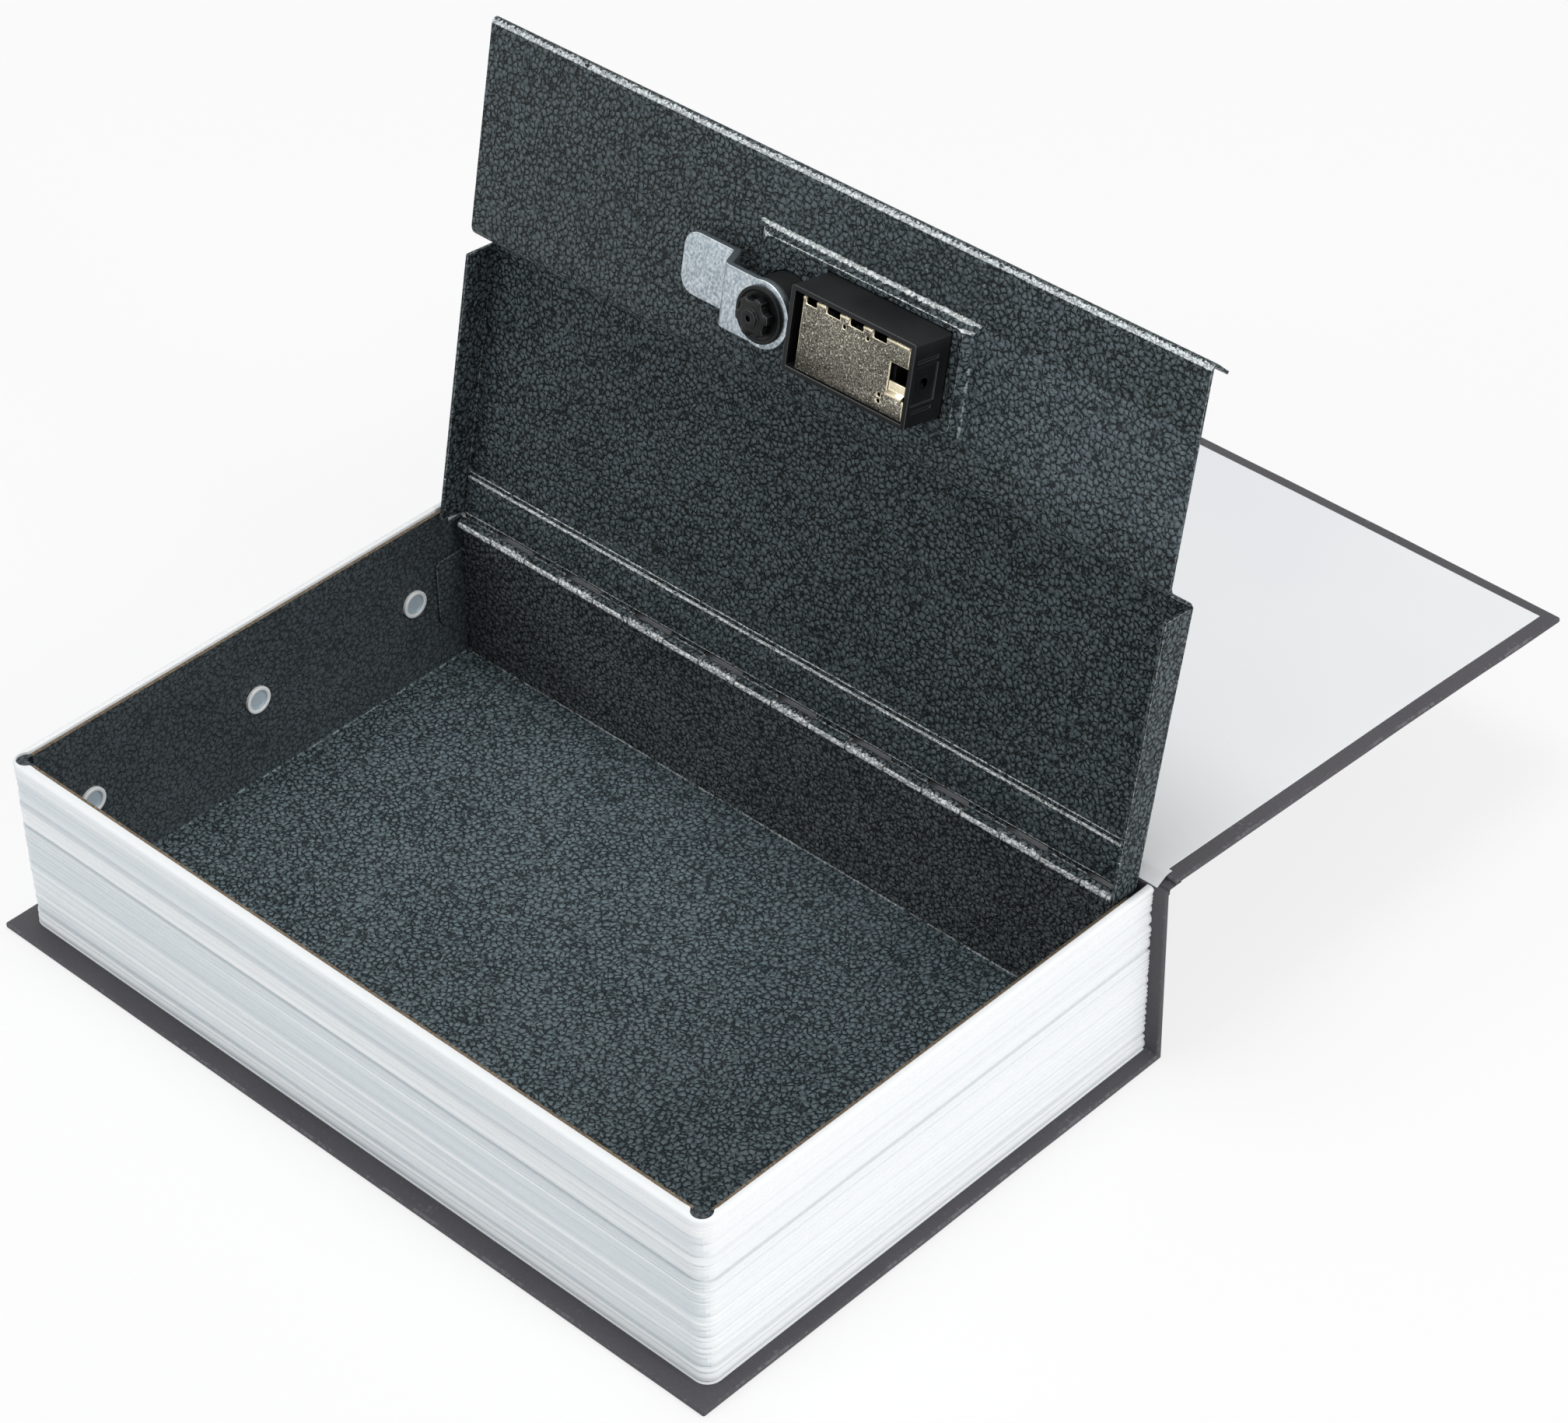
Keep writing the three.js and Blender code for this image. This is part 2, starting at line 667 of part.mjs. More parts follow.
/** Rear panel of the box, with rolled knuckles along its top. */
function makeRearWall() {
  const tabX = boxInnerX - tabFit;
  const panelTop = lidHingeZ - knuckleRadius - knuckleClearance;
  const lower = block(-tabX, tabX, rearWallFrontY, rearWallBackY, boxFloorZ, tabTop);
  const upperHalf = boxInnerX - wallSlitWidth;
  const upper = block(
    -upperHalf, upperHalf, rearWallFrontY, rearWallBackY, tabTop - overrun, panelTop,
  );
  const footRelief = [-tabX - overrun, upperHalf].map((x) => block(
    x, x + tabX - upperHalf + overrun, rearWallFrontY - overrun, rearWallBackY + overrun,
    boxFloorZ - overrun, tabLowInner,
  ));
  const rolls = [];
  for (let number = 1; number < knuckleCount; number += 2) {
    const [x0, x1] = knuckleSpan(number);
    rolls.push(block(x0, x1, rearWallFrontY, rearWallBackY, panelTop - overrun, lidHingeZ));
    rolls.push(rodX(knuckleRadius, x0, x1, lidHingeY, lidHingeZ, knuckleSides));
  }
  const bore = rodX(
    pinRadius + runningClearance, -boxOuterX, boxOuterX, lidHingeY, lidHingeZ, knuckleSides,
  );
  return inPaintedSteel('rear_wall', cut(join(lower, upper, ...rolls), bore, ...footRelief));
}

/** Tabs that turn the corners between the rear panel and the side walls. */
function makeRearTabs() {
  const tabX = boxInnerX - tabFit;
  const tabShape = outline([
    [rearWallFrontY, tabTop],
    [rearWallFrontY - tabWidth, tabTop],
    [rearWallFrontY - tabWidth, tabLowOuter],
    [rearWallFrontY, tabLowInner],
  ]);
  return [['rear_tab_left', -tabX], ['rear_tab_right', tabX - steelThickness]].map(
    ([name, x]) => inPaintedSteel(name, toSolid(prismX(tabShape, x, x + steelThickness))),
  );
}

/** Long pin of the continuous hinge. */
function makeHingePin() {
  const pin = rodX(pinRadius, -hingeHalfLength, hingeHalfLength, lidHingeY, lidHingeZ, knuckleSides);
  return inSteel('hinge_pin', pin);
}

/** Lid's leaf of the hinge: knuckles on the axis, slots where the box's knuckles pass. */
function makeLidLeaf() {
  const leaf = block(-hingeHalfLength, hingeHalfLength, 0, leafWidth, leafBackW, leafFrontW);
  const rolls = [];
  const slots = [];
  for (let number = 0; number < knuckleCount; number += 1) {
    const [x0, x1] = knuckleSpan(number);
    if (number % 2 === 0) {
      rolls.push(rodX(knuckleRadius, x0, x1, 0, 0, knuckleSides));
    } else {
      slots.push(block(
        x0 - knuckleGap, x1 + knuckleGap, -overrun, leafSlotReach,
        leafBackW - overrun, leafFrontW + overrun,
      ));
    }
  }
  const bore = rodX(pinRadius + runningClearance, -boxOuterX, boxOuterX, 0, 0, knuckleSides);
  return inPaintedSteel('lid_hinge_leaf', cut(join(leaf, ...rolls), bore, ...slots));
}

/** Middle line of the lid's sheet from its hinge edge over the joggle to the rolled lip. */
function lidSheetLine() {
  const half = steelThickness / 2;
  const bendRadius = lidLipBendRadius - half;
  const bendV = lidFreeEdge - lidLipBendRadius;
  const bendW = lidLowOuterW + steelThickness - lidLipBendRadius;
  const leanAngle = Math.atan2(lidLipLean, lidLipRise);
  const steps = 5;
  const bend = [];
  for (let i = 0; i <= steps; i += 1) {
    const angle = Math.PI / 2 - (Math.PI / 2 + leanAngle) * (i / steps);
    bend.push([bendV + bendRadius * Math.cos(angle), bendW + bendRadius * Math.sin(angle)]);
  }
  const [lastV, lastW] = bend[bend.length - 1];
  const tip = [
    lastV - (lidLipRise - lidLipBendRadius) * Math.tan(leanAngle),
    lastW - (lidLipRise - lidLipBendRadius),
  ];
  return [
    [lidRearEdge, lidHighInnerW - half],
    [lidJoggleStart, lidHighInnerW - half],
    [lidJoggleEnd, lidLowInnerW - half],
    ...bend,
    tip,
  ];
}

/** Block with sloping sides: a small face at z1 and a face larger by the slope at z0. */
function taperedBlock(x0, x1, y0, y1, slope, z0, z1) {
  const ring = (grow, z) => [
    [x0 - grow, y0 - grow, z],
    [x1 + grow, y0 - grow, z],
    [x1 + grow, y1 + grow, z],
    [x0 - grow, y1 + grow, z],
  ];
  return skinRings([ring(slope, z0), ring(0, z1)]);
}

/** Steel lid: high half with side flanges by the hinge, low half with the lock pocket and lip. */
function makeLidPanel() {
  const sheet = prismX(sheetOutline(lidSheetLine(), steelThickness), -lidHalfWidth, lidHalfWidth);
  const trims = [-lidHalfWidth - overrun, lidFreeHalfWidth].map((x) => block(
    x, x + lidFreeSideStep + overrun, lidJoggleStart + lidFlangeEndGap, lidFreeEdge + overrun,
    lidHighOuterW - lidLipRise, lidLowInnerW + overrun,
  ));
  const flangeEnd = lidJoggleStart - lidFlangeEndGap;
  const flangeTip = lidLowInnerW;
  const flangeShape = outline([
    [lidFlangeStart, lidHighOuterW],
    [flangeEnd + lidFlangeChamfer, lidHighOuterW],
    [flangeEnd, flangeTip - lidFlangeChamfer],
    [flangeEnd - lidFlangeChamfer, flangeTip],
    [lidFlangeStart, flangeTip],
  ]);
  const flanges = [-lidHalfWidth, lidHalfWidth - steelThickness].map(
    (x) => prismX(flangeShape, x, x + steelThickness),
  );
  const inset = pocketBevel;
  const left = pocketLeft + inset;
  const right = pocketRight - inset;
  const near = pocketNear + inset;
  const far = pocketFar - inset;
  const boss = taperedBlock(left, right, near, far, pocketBevel, lidLowInnerW, pocketInnerW);
  const slopeRun = pocketBevel * (1 + overrun / pocketDepth);
  const recess = taperedBlock(
    left, right, near, far, slopeRun,
    lidLowOuterW - overrun, pocketFloorW,
  );
  const bodyHole = block(
    lockLeft - seatGap, lockRight + seatGap, lockNear - seatGap, lockFar + seatGap,
    pocketFloorW - overrun, pocketInnerW + overrun,
  );
  const barrelHole = rodZ(
    barrelRadius + seatGap, spindleU, spindleV, pocketFloorW - overrun, pocketInnerW + overrun,
  );
  const formed = cut(join(sheet, ...flanges, boss), recess, bodyHole, barrelHole, ...trims);
  return inPaintedSteel('lid_panel', formed);
}

/** Black moulded lock body: face flange, wheel box open at the back, and spindle barrel. */
function makeLockHousing() {
  const flange = block(
    pocketLeft + pocketBevel + lockFlangeMargin, pocketRight - pocketBevel - lockFlangeMargin,
    pocketNear + pocketBevel + lockFlangeMargin, pocketFar - pocketBevel - lockFlangeMargin,
    lockFaceW, lockFlangeTopW,
  );
  const body = block(lockLeft, lockRight, lockNear, lockFar, lockFlangeTopW - overrun, lockBackW);
  const barrel = rodZ(
    barrelRadius, spindleU, spindleV, lockFlangeTopW - overrun, barrelTopW, fineSides,
  );
  const web = block(
    spindleU, lockLeft + overrun, spindleV - webHalfWidth, spindleV + webHalfWidth,
    pocketInnerW + seatGap, barrelTopW - webDrop,
  );
  const cavity = block(
    lockLeft + lockWall, lockRight - lockWall, lockNear + lockWall, lockFar - lockWall,
    lockCavityW, lockBackW + overrun,
  );
  const spindleBore = rodZ(
    spindleRadius + runningClearance, spindleU, spindleV,
    lockFaceW - overrun, barrelTopW + overrun, fineSides,
  );
  const chordW = lockCavityW - wheelW;
  const slotHalf = Math.sqrt(wheelRadius ** 2 - chordW ** 2) + wheelClearance;
  const slots = wheelPlaces().map((u) => block(
    u - wheelWidth / 2 - wheelClearance, u + wheelWidth / 2 + wheelClearance,
    wheelV - slotHalf, wheelV + slotHalf, lockFaceW - overrun, lockCavityW + overrun,
  ));
  const solid = cut(join(flange, body, barrel, web), cavity, spindleBore, ...slots);
  return inBlackPlastic('lock_housing', solid);
}

/** Middle of each code wheel along the spine. */
function wheelPlaces() {
  return Array.from({ length: wheelCount }, (_, i) => firstWheelU + i * wheelPitch);
}

/** Plated plate that closes the wheel box, with a comb along one edge and the lever's slot. */
function makeBackPlate() {
  const inset = lockWall + plateFit;
  const far = lockFar - inset;
  const left = lockLeft + inset + plateLeftRim;
  const right = lockRight - inset;
  const plate = block(left, right, lockNear + inset, far, plateBottomW, plateTopW);
  const notches = [];
  for (let i = 0; i < plateNotchCount; i += 1) {
    const end = left + plateNotchStart + i * plateNotchPitch;
    notches.push(block(
      Math.max(end - plateNotchWidth, left + plateEndTab), end, far - plateNotchDepth,
      far + overrun, plateBottomW - overrun, plateTopW + overrun,
    ));
  }
  const leverSlot = block(
    right - leverSlotWidth, right + overrun, leverSlotNear,
    leverSlotNear + leverLength + leverTravel + 2 * leverFit,
    plateBottomW - overrun, plateTopW + overrun,
  );
  return inNickel('lock_back_plate', cut(toSolid(plate), leverSlot, ...notches));
}

/** Lever in the back plate's slot that frees the wheels for a new code. */
function makeResetLever() {
  const right = lockRight - lockWall - plateFit;
  const near = leverSlotNear + leverFit;
  const far = near + leverLength;
  const profile = outline([
    [near, plateBottomW],
    [far, plateBottomW],
    [far, plateTopW],
    [near + leverRiseFoot, plateTopW + leverRiseHeight],
    [near, plateTopW + leverRiseHeight],
  ]);
  return inNickel('reset_lever', toSolid(prismX(profile, right - leverSlotWidth + leverFit, right)));
}

/** Code wheel with one finger groove for each digit. */
function makeWheel(number, u) {
  const rim = [];
  const steps = wheelDigits * 2;
  for (let i = 0; i < steps; i += 1) {
    const radius = i % 2 === 0 ? wheelRadius : wheelRadius - wheelGrooveDepth;
    const angle = (2 * Math.PI * i) / steps;
    rim.push([wheelV + radius * Math.cos(angle), wheelW + radius * Math.sin(angle)]);
  }
  const disc = toSolid(prismX(outline(rim), u - wheelWidth / 2, u + wheelWidth / 2));
  const bore = rodX(
    hubRadius + runningClearance, u - wheelWidth, u + wheelWidth, wheelV, wheelW, coarseSides,
  );
  return inBlackPlastic(`dial_wheel_${number}`, cut(disc, bore));
}

/** Hub inside a code wheel, with a notched collar beside the wheel. */
function makeCodeHub(number, u) {
  const collarEnd = u - wheelWidth / 2 - runningClearance;
  const collarStart = collarEnd - hubCollarThickness;
  const sleeve = rodX(hubRadius, collarStart, u + wheelWidth / 2, wheelV, wheelW);
  const collar = rodX(hubCollarRadius, collarStart, collarEnd, wheelV, wheelW);
  const bore = rodX(
    axleRadius + runningClearance, u - 2 * wheelWidth, u + wheelWidth, wheelV, wheelW, knuckleSides,
  );
  const notch = block(
    collarStart - overrun, collarEnd + runningClearance / 2,
    wheelV - hubCollarRadius - overrun, wheelV - hubCollarRadius + hubNotchDepth,
    wheelW - hubNotchWidth / 2, wheelW + hubNotchWidth / 2,
  );
  return inBrass(`code_hub_${number}`, cut(join(sleeve, collar), bore, notch));
}

/** Axle that carries the hubs between the lock's end walls. */
function makeDialAxle() {
  const axle = rodX(
    axleRadius, lockLeft + lockWall, lockRight - lockWall, wheelV, wheelW, knuckleSides,
  );
  return inSteel('dial_axle', axle);
}

/** Bar under the wheels whose teeth meet the notches of the hubs. */
function makeFence() {
  const near = lockNear + lockWall + fenceClearance;
  const far = near + fenceThickness;
  const w0 = wheelW - fenceHeight / 2;
  const w1 = wheelW + fenceHeight / 2;
  const toothEnds = fenceToothEnds();
  const start = toothEnds[0] - fenceToothWidth - fenceEndMargin;
  const bar = block(start, fenceEnd(), near, far, w0, w1);
  const toothHalf = hubNotchWidth / 2 - fenceClearance;
  const teeth = toothEnds.map((end) => block(
    end - fenceToothWidth, end, far - fenceThickness / 2, wheelV - fenceToothReach,
    wheelW - toothHalf, wheelW + toothHalf,
  ));
  return inZinc('fence_slide', join(bar, ...teeth));
}

/** End of each fence tooth along the spine, just before its wheel's collar. */
function fenceToothEnds() {
  return wheelPlaces().map((u) => u - wheelWidth / 2 - fenceToothOffset);
}

/** End of the fence bar along the spine. */
function fenceEnd() {
  return fenceToothEnds()[wheelCount - 1] + fenceTail;
}

/** Leaf spring between the fence's end and the wheel box. */
function makeFenceSpring() {
  const base = lockNear + lockWall + fenceClearance + springThickness / 2;
  const right = lockRight - lockWall - fenceClearance;
  const left = fenceEnd() + fenceTravel + fenceClearance + springThickness / 2;
  const line = [
    [right, base + springFoot],
    [right, base],
    [left, base],
    [left, base + springHook],
  ];
  const strip = prismZ(
    sheetOutline(line, springThickness), wheelW - fenceHeight / 2, wheelW + fenceHeight / 2,
  );
  return inSteel('fence_spring', toSolid(strip));
}

/** Round knob outside the lid, with a grip bar across its face. */
function makeKnob() {
  const skirtW = knobTopW - knobSkirtHeight;
  const skirt = rodZ(knobRadius, spindleU, spindleV, skirtW, knobTopW, fineSides);
  const crown = rodZ(
    knobRadius - knobGripDepth / 2, spindleU, spindleV, knobFaceW + knobGripDepth,
    skirtW + overrun / 2, fineSides,
  );
  const grip = block(
    spindleU - knobGripWidth / 2, spindleU + knobGripWidth / 2,
    spindleV - knobRadius + knobGripDepth / 2, spindleV + knobRadius - knobGripDepth / 2,
    knobFaceW, skirtW,
  );
  const socket = rodZ(
    spindleRadius + stackGap, spindleU, spindleV,
    knobTopW - knobSocketDepth, knobTopW + overrun, coarseSides,
  );
  return inBlackPlastic('turn_knob', cut(join(skirt, crown, grip), socket));
}

/** Shaft from the knob through the barrel: round, then square for the cam, then threaded. */
function makeSpindle() {
  const half = spindleSquare / 2;
  const round = rodZ(
    spindleRadius, spindleU, spindleV, knobTopW - knobSocketDepth + stackGap, barrelTopW,
  );
  const square = block(
    spindleU - half, spindleU + half, spindleV - half, spindleV + half,
    barrelTopW - overrun, camArmTopW - stackGap,
  );
  const thread = rodZ(
    spindleThreadRadius, spindleU, spindleV, camArmBottomW, nutLobeTopW - seatGap,
  );
  return inZinc('cam_spindle', join(round, square, thread));
}

/** Outline of the cam seen along the spindle: round hub end and blunt rounded tip. */
function camOutline() {
  const half = camWidth / 2;
  const tip = spindleU - camReach;
  const shape = new THREE.Shape();
  shape.moveTo(spindleU, spindleV - half);
  shape.absarc(spindleU, spindleV, camHubRadius, -Math.PI / 2, Math.PI / 2, false);
  shape.lineTo(spindleU, spindleV + half);
  shape.lineTo(tip + camTipFarRun, spindleV + half);
  shape.quadraticCurveTo(tip, spindleV + half, tip, spindleV + half - camTipSideRun);
  shape.lineTo(tip, spindleV - half + camTipSideRun);
  shape.quadraticCurveTo(tip, spindleV - half, tip + camTipNearRun, spindleV - half);
  shape.closePath();
  return shape;
}

/** Cranked cam: the tongue lies one crank lower than the arm on the spindle. */
function makeCam() {
  const middle = camTongueBottomW + camThickness / 2;
  const armMiddle = camArmBottomW + camThickness / 2;
  const crankU = spindleU - camCrankStart;
  const line = [
    [spindleU + camHubRadius + overrun, armMiddle],
    [crankU, armMiddle],
    [crankU - camCrankRun, middle],
    [spindleU - camReach - overrun, middle],
  ];
  const half = camWidth / 2 + overrun;
  const sheet = toSolid(prismY(sheetOutline(line, camThickness), spindleV - half, spindleV + half));
  const trim = toSolid(prismZ(camOutline(), middle - camThickness, camArmTopW + overrun));
  const fit = spindleSquare / 2 + stackGap;
  const squareHole = block(
    spindleU - fit, spindleU + fit, spindleV - fit, spindleV + fit,
    camArmBottomW - overrun, camArmTopW + overrun,
  );
  return inZinc('latch_cam', cut(sheet.intersect(trim), squareHole));
}

/** Black washer between the cam and the nut. */
function makeCamWasher() {
  const disc = rodZ(washerRadius, spindleU, spindleV, washerBottomW, washerTopW, fineSides);
  const hole = rodZ(
    spindleThreadRadius + stackGap, spindleU, spindleV,
    washerBottomW - overrun, washerTopW + overrun,
  );
  return inBlackPlastic('cam_washer', cut(toSolid(disc), hole));
}

/** Black lobed nut with a short tube round the end of the thread. */
function makeCamNut() {
  const rim = [];
  const steps = nutLobes * 4;
  for (let i = 0; i < steps; i += 1) {
    const radius = i % 4 < 2 ? nutLobeRadius : nutRootRadius;
    const angle = (2 * Math.PI * i) / steps;
    rim.push([spindleU + radius * Math.cos(angle), spindleV + radius * Math.sin(angle)]);
  }
  const lobes = prismZ(outline(rim), nutBottomW, nutLobeTopW);
  const tube = rodZ(nutTubeRadius, spindleU, spindleV, nutLobeTopW - overrun, nutTopW);
  const threadHole = rodZ(
    spindleThreadRadius + stackGap, spindleU, spindleV, nutBottomW - overrun, nutLobeTopW,
  );
  const tubeHole = rodZ(nutTubeBore, spindleU, spindleV, nutBottomW, nutTopW + overrun);
  return inBlackPlastic('cam_nut', cut(join(lobes, tube), threadHole, tubeHole));
}

/** Lid with its hinge leaf and lock, in a frame whose Y runs out from the hinge and Z inwards. */
function makeLid() {
  const lid = new THREE.Group();
  lid.position.set(0, lidHingeY, lidHingeZ);
  lid.rotation.x = THREE.MathUtils.degToRad(180 - lidOpenAngle);
  lid.add(makeLidPanel());
  lid.add(makeLidLeaf());
  lid.add(makeLockHousing());
  lid.add(makeBackPlate());
  lid.add(makeResetLever());
  lid.add(makeDialAxle());
  wheelPlaces().forEach((u, i) => {
    lid.add(makeWheel(i + 1, u));
    lid.add(makeCodeHub(i + 1, u));
  });
  lid.add(makeFence());
  lid.add(makeFenceSpring());
  lid.add(makeKnob());
  lid.add(makeSpindle());
  lid.add(makeCam());
  lid.add(makeCamWasher());
  lid.add(makeCamNut());
  return lid;
}

const safe = new THREE.Group();
safe.add(...makeBackCase());
safe.add(makeFrontCover());
safe.add(makePageFrame());
safe.add(...makeTrayFloor());
safe.add(makeTrayFront());
safe.add(...makeTraySides());
safe.add(makeLatchLedge());
safe.add(makeRearWall());
safe.add(...makeRearTabs());
safe.add(makeHingePin());
safe.add(...makeRivets());
safe.add(makeLid());

export default safe;
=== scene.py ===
import logging
import math
import random
from collections.abc import Callable, Iterator, Sequence
from contextlib import contextmanager
from dataclasses import dataclass, replace
from enum import Enum

import bmesh
import bpy
from mathutils import Matrix, Vector, noise


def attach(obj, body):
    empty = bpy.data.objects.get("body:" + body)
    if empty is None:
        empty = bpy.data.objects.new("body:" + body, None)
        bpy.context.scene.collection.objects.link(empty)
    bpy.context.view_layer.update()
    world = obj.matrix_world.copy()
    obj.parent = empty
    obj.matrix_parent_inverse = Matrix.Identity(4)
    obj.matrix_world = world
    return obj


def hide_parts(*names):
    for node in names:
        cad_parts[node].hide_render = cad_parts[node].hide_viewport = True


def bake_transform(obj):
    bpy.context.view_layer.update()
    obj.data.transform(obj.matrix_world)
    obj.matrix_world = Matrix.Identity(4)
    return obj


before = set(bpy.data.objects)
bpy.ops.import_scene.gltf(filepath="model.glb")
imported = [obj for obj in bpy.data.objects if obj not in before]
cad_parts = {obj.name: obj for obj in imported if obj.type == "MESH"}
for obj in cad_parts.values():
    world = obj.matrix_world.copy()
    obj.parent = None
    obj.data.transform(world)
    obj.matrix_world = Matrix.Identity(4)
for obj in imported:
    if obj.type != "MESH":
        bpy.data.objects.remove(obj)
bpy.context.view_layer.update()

log = logging.getLogger("book_safe")

MM = 0.001
Shape = bpy.types.Object
Socket = bpy.types.NodeSocket
Form = bmesh.types.BMesh
Point = tuple[float, float, float]
Pair = tuple[float, float]
Box = tuple[Point, Point]
FaceTest = Callable[[Vector, Vector], bool]
EdgeTest = Callable[[Vector, Vector], bool]
PointTest = Callable[[Vector], bool]
PointMove = Callable[[Vector], Vector]
Path = Sequence[Pair]

X, Y, Z = range(3)
# Number of the finish that rounded edges take.
EDGE = 1
# Least angle of the edges that are rounded, on folded work and on turned work.
CORNERS, TURNED = 50.0, 40.0
# Least share of a normal along an axis, for a face square to it and for one turned to it.
FACING, SIDEWAYS = 0.9, 0.6
# How near a point lies to a known place, in millimetres, before and after carving.
TOUCH, NEARLY = 0.01, 0.02


class Part(Enum):
    """Rigid parts that the pieces ride on."""

    CASE = "case_and_box"
    COVER = "front_cover"
    LID = "lid"
    CAM = "cam"
    RESET = "reset"


@dataclass(frozen=True)
class Drawing:
    """Frame in which a sub-assembly is drawn, in millimetres.

    Args:
        origin: Place of the drawing's origin on the book.
        tilt: Turn about the spine's direction, in degrees.
    """

    origin: Point = (0.0, 0.0, 0.0)
    tilt: float = 0.0

    def matrix(self) -> Matrix:
        """Placement that brings a shape drawn in millimetres to its place in metres."""
        turn = Matrix.Rotation(math.radians(self.tilt), 4, "X")
        return Matrix.Scale(MM, 4) @ Matrix.Translation(self.origin) @ turn


BOOK = Drawing()
LID = Drawing(origin=(0.0, 72.25, 46.6), tilt=78.2)
COVER = Drawing(origin=(0.0, 77.05, 53.2), tilt=-3.24)


def ease(value: float, start: float, end: float) -> float:
    """Smooth rise from 0 at start to 1 at end."""
    share = min(max((value - start) / (end - start), 0.0), 1.0)
    return share * share * (3.0 - 2.0 * share)


def is_top(middle: Vector, normal: Vector) -> bool:
    """True on faces that look up."""
    return normal.z > FACING


def is_underside(middle: Vector, normal: Vector) -> bool:
    """True on faces that look down."""
    return normal.z < -FACING


def rises(least: float) -> EdgeTest:
    """Test for edges that rise by more than a height."""
    return lambda a, b: abs(a.z - b.z) > least


class Bench:
    """Modelling bench: shapes are made here in millimetres, in their drawing's frame."""

    TAG = "finish_number_"
    TAGS = 8

    @staticmethod
    def hold(*shapes: Shape) -> None:
        """Select only these shapes, with the first one active."""
        bpy.ops.object.select_all(action="DESELECT")
        for shape in shapes:
            shape.select_set(True)
        bpy.context.view_layer.objects.active = shapes[0]

    @classmethod
    def take(cls, name: str) -> Shape:
        """Name the primitive that was just added and apply its place."""
        shape = bpy.context.object
        bpy.ops.object.transform_apply(location=True, rotation=True, scale=True)
        shape.name = name
        shape.data.name = name
        for tag in (f"{cls.TAG}{number}" for number in range(cls.TAGS)):
            shape.data.materials.append(bpy.data.materials.get(tag) or bpy.data.materials.new(tag))
        return shape

    @classmethod
    def block(cls, name: str, low: Point, high: Point) -> Shape:
        """Block between two corners."""
        bpy.ops.object.select_all(action="DESELECT")
        middle = (Vector(low) + Vector(high)) / 2
        size = Vector(high) - Vector(low)
        bpy.ops.mesh.primitive_cube_add(size=1, location=middle, scale=size)
        return cls.take(name)

    @classmethod
    def pillar(cls, name: str, low: Point, high: Point, corner: float, facets: int) -> Shape:
        """Block between two corners, with its upright edges rounded."""
        shape = cls.block(name, low, high)
        with cls.editing(shape, "EDGE"):
            cls.pick_edges(rises((high[2] - low[2]) / 2))
            cls.round(corner, facets)
        return shape

    @classmethod
    def rod(cls, name: str, radius: float, start: Point, end: Point, sides: int = 48) -> Shape:
        """Round bar from start to end."""
        bpy.ops.object.select_all(action="DESELECT")
        axis = Vector(end) - Vector(start)
        bpy.ops.mesh.primitive_cylinder_add(
            vertices=sides, radius=radius, depth=axis.length,
            location=(Vector(start) + Vector(end)) / 2,
            rotation=axis.to_track_quat("Z", "Y").to_euler(),
        )
        return cls.take(name)

    @classmethod
    def post(cls, name: str, place: Pair, sizes: Point, sides: int) -> Shape:
        """Upright round bar at a place, with its radius and the heights of its two ends."""
        radius, low, high = sizes
        return cls.rod(name, radius, (*place, low), (*place, high), sides)

    @classmethod
    def strip(cls, name: str, x0: float, x1: float, y0: float, y1: float, z: float) -> Shape:
        """Flat sheet without thickness, at one height."""
        bpy.ops.object.select_all(action="DESELECT")
        bpy.ops.mesh.primitive_plane_add(size=1, location=((x0 + x1) / 2, (y0 + y1) / 2, z))
        bpy.context.object.scale = (x1 - x0, y1 - y0, 1)
        return cls.take(name)

    @classmethod
    def sheet(
        cls, name: str, half: float, root: float, path: Path, first: float, pitch: float, count: int
    ) -> Shape:
        """Sheet without thickness along a path, divided so that it can bend.

        Args:
            name: Its name.
            half: Half its width, along X.
            root: Y of its edge before the path's first point.
            path: The (Y, Z) points that it follows.
            first: X of the first cut across it.
            pitch: Distance between the cuts.
            count: How many cuts there are.

        Returns:
            The sheet.
        """
        start, height = path[0]
        shape = cls.strip(name, -half, half, root, start, height)
        with cls.editing(shape, "EDGE"):
            cls.divide(X, first, pitch, count)
            cls.pick_edges(lambda a, b: min(a.y, b.y) > start - TOUCH)
            cls.follow(path)
        return shape

    @classmethod
    @contextmanager
    def editing(cls, shape: Shape, mode: str = "FACE") -> Iterator[None]:
        """Open a shape in edit mode with nothing selected, and close it afterwards.

        Args:
            shape: The shape to open.
            mode: What is selected: VERT, EDGE or FACE.
        """
        cls.hold(shape)
        bpy.ops.object.mode_set(mode="EDIT")
        bpy.ops.mesh.select_mode(type=mode)
        bpy.ops.mesh.select_all(action="DESELECT")
        yield
        bpy.ops.object.mode_set(mode="OBJECT")

    @classmethod
    @contextmanager
    def reopening(cls, shape: Shape) -> Iterator[None]:
        """Open a shape in edit mode with what was selected last, and close it afterwards."""
        cls.hold(shape)
        bpy.ops.object.mode_set(mode="EDIT")
        yield
        bpy.ops.object.mode_set(mode="OBJECT")

    @staticmethod
    def pick(mode: str, choose: Callable[[Form], list]) -> None:
        """Select only what a function chooses from the open shape.

        Args:
            mode: What is selected: VERT, EDGE or FACE.
            choose: Function that lists the chosen elements of the shape.
        """
        bpy.ops.mesh.select_mode(type=mode)
        bpy.ops.mesh.select_all(action="DESELECT")
        mesh = bpy.context.object.data
        form = bmesh.from_edit_mesh(mesh)
        form.normal_update()
        for element in choose(form):
            element.select_set(True)
        bmesh.update_edit_mesh(mesh)

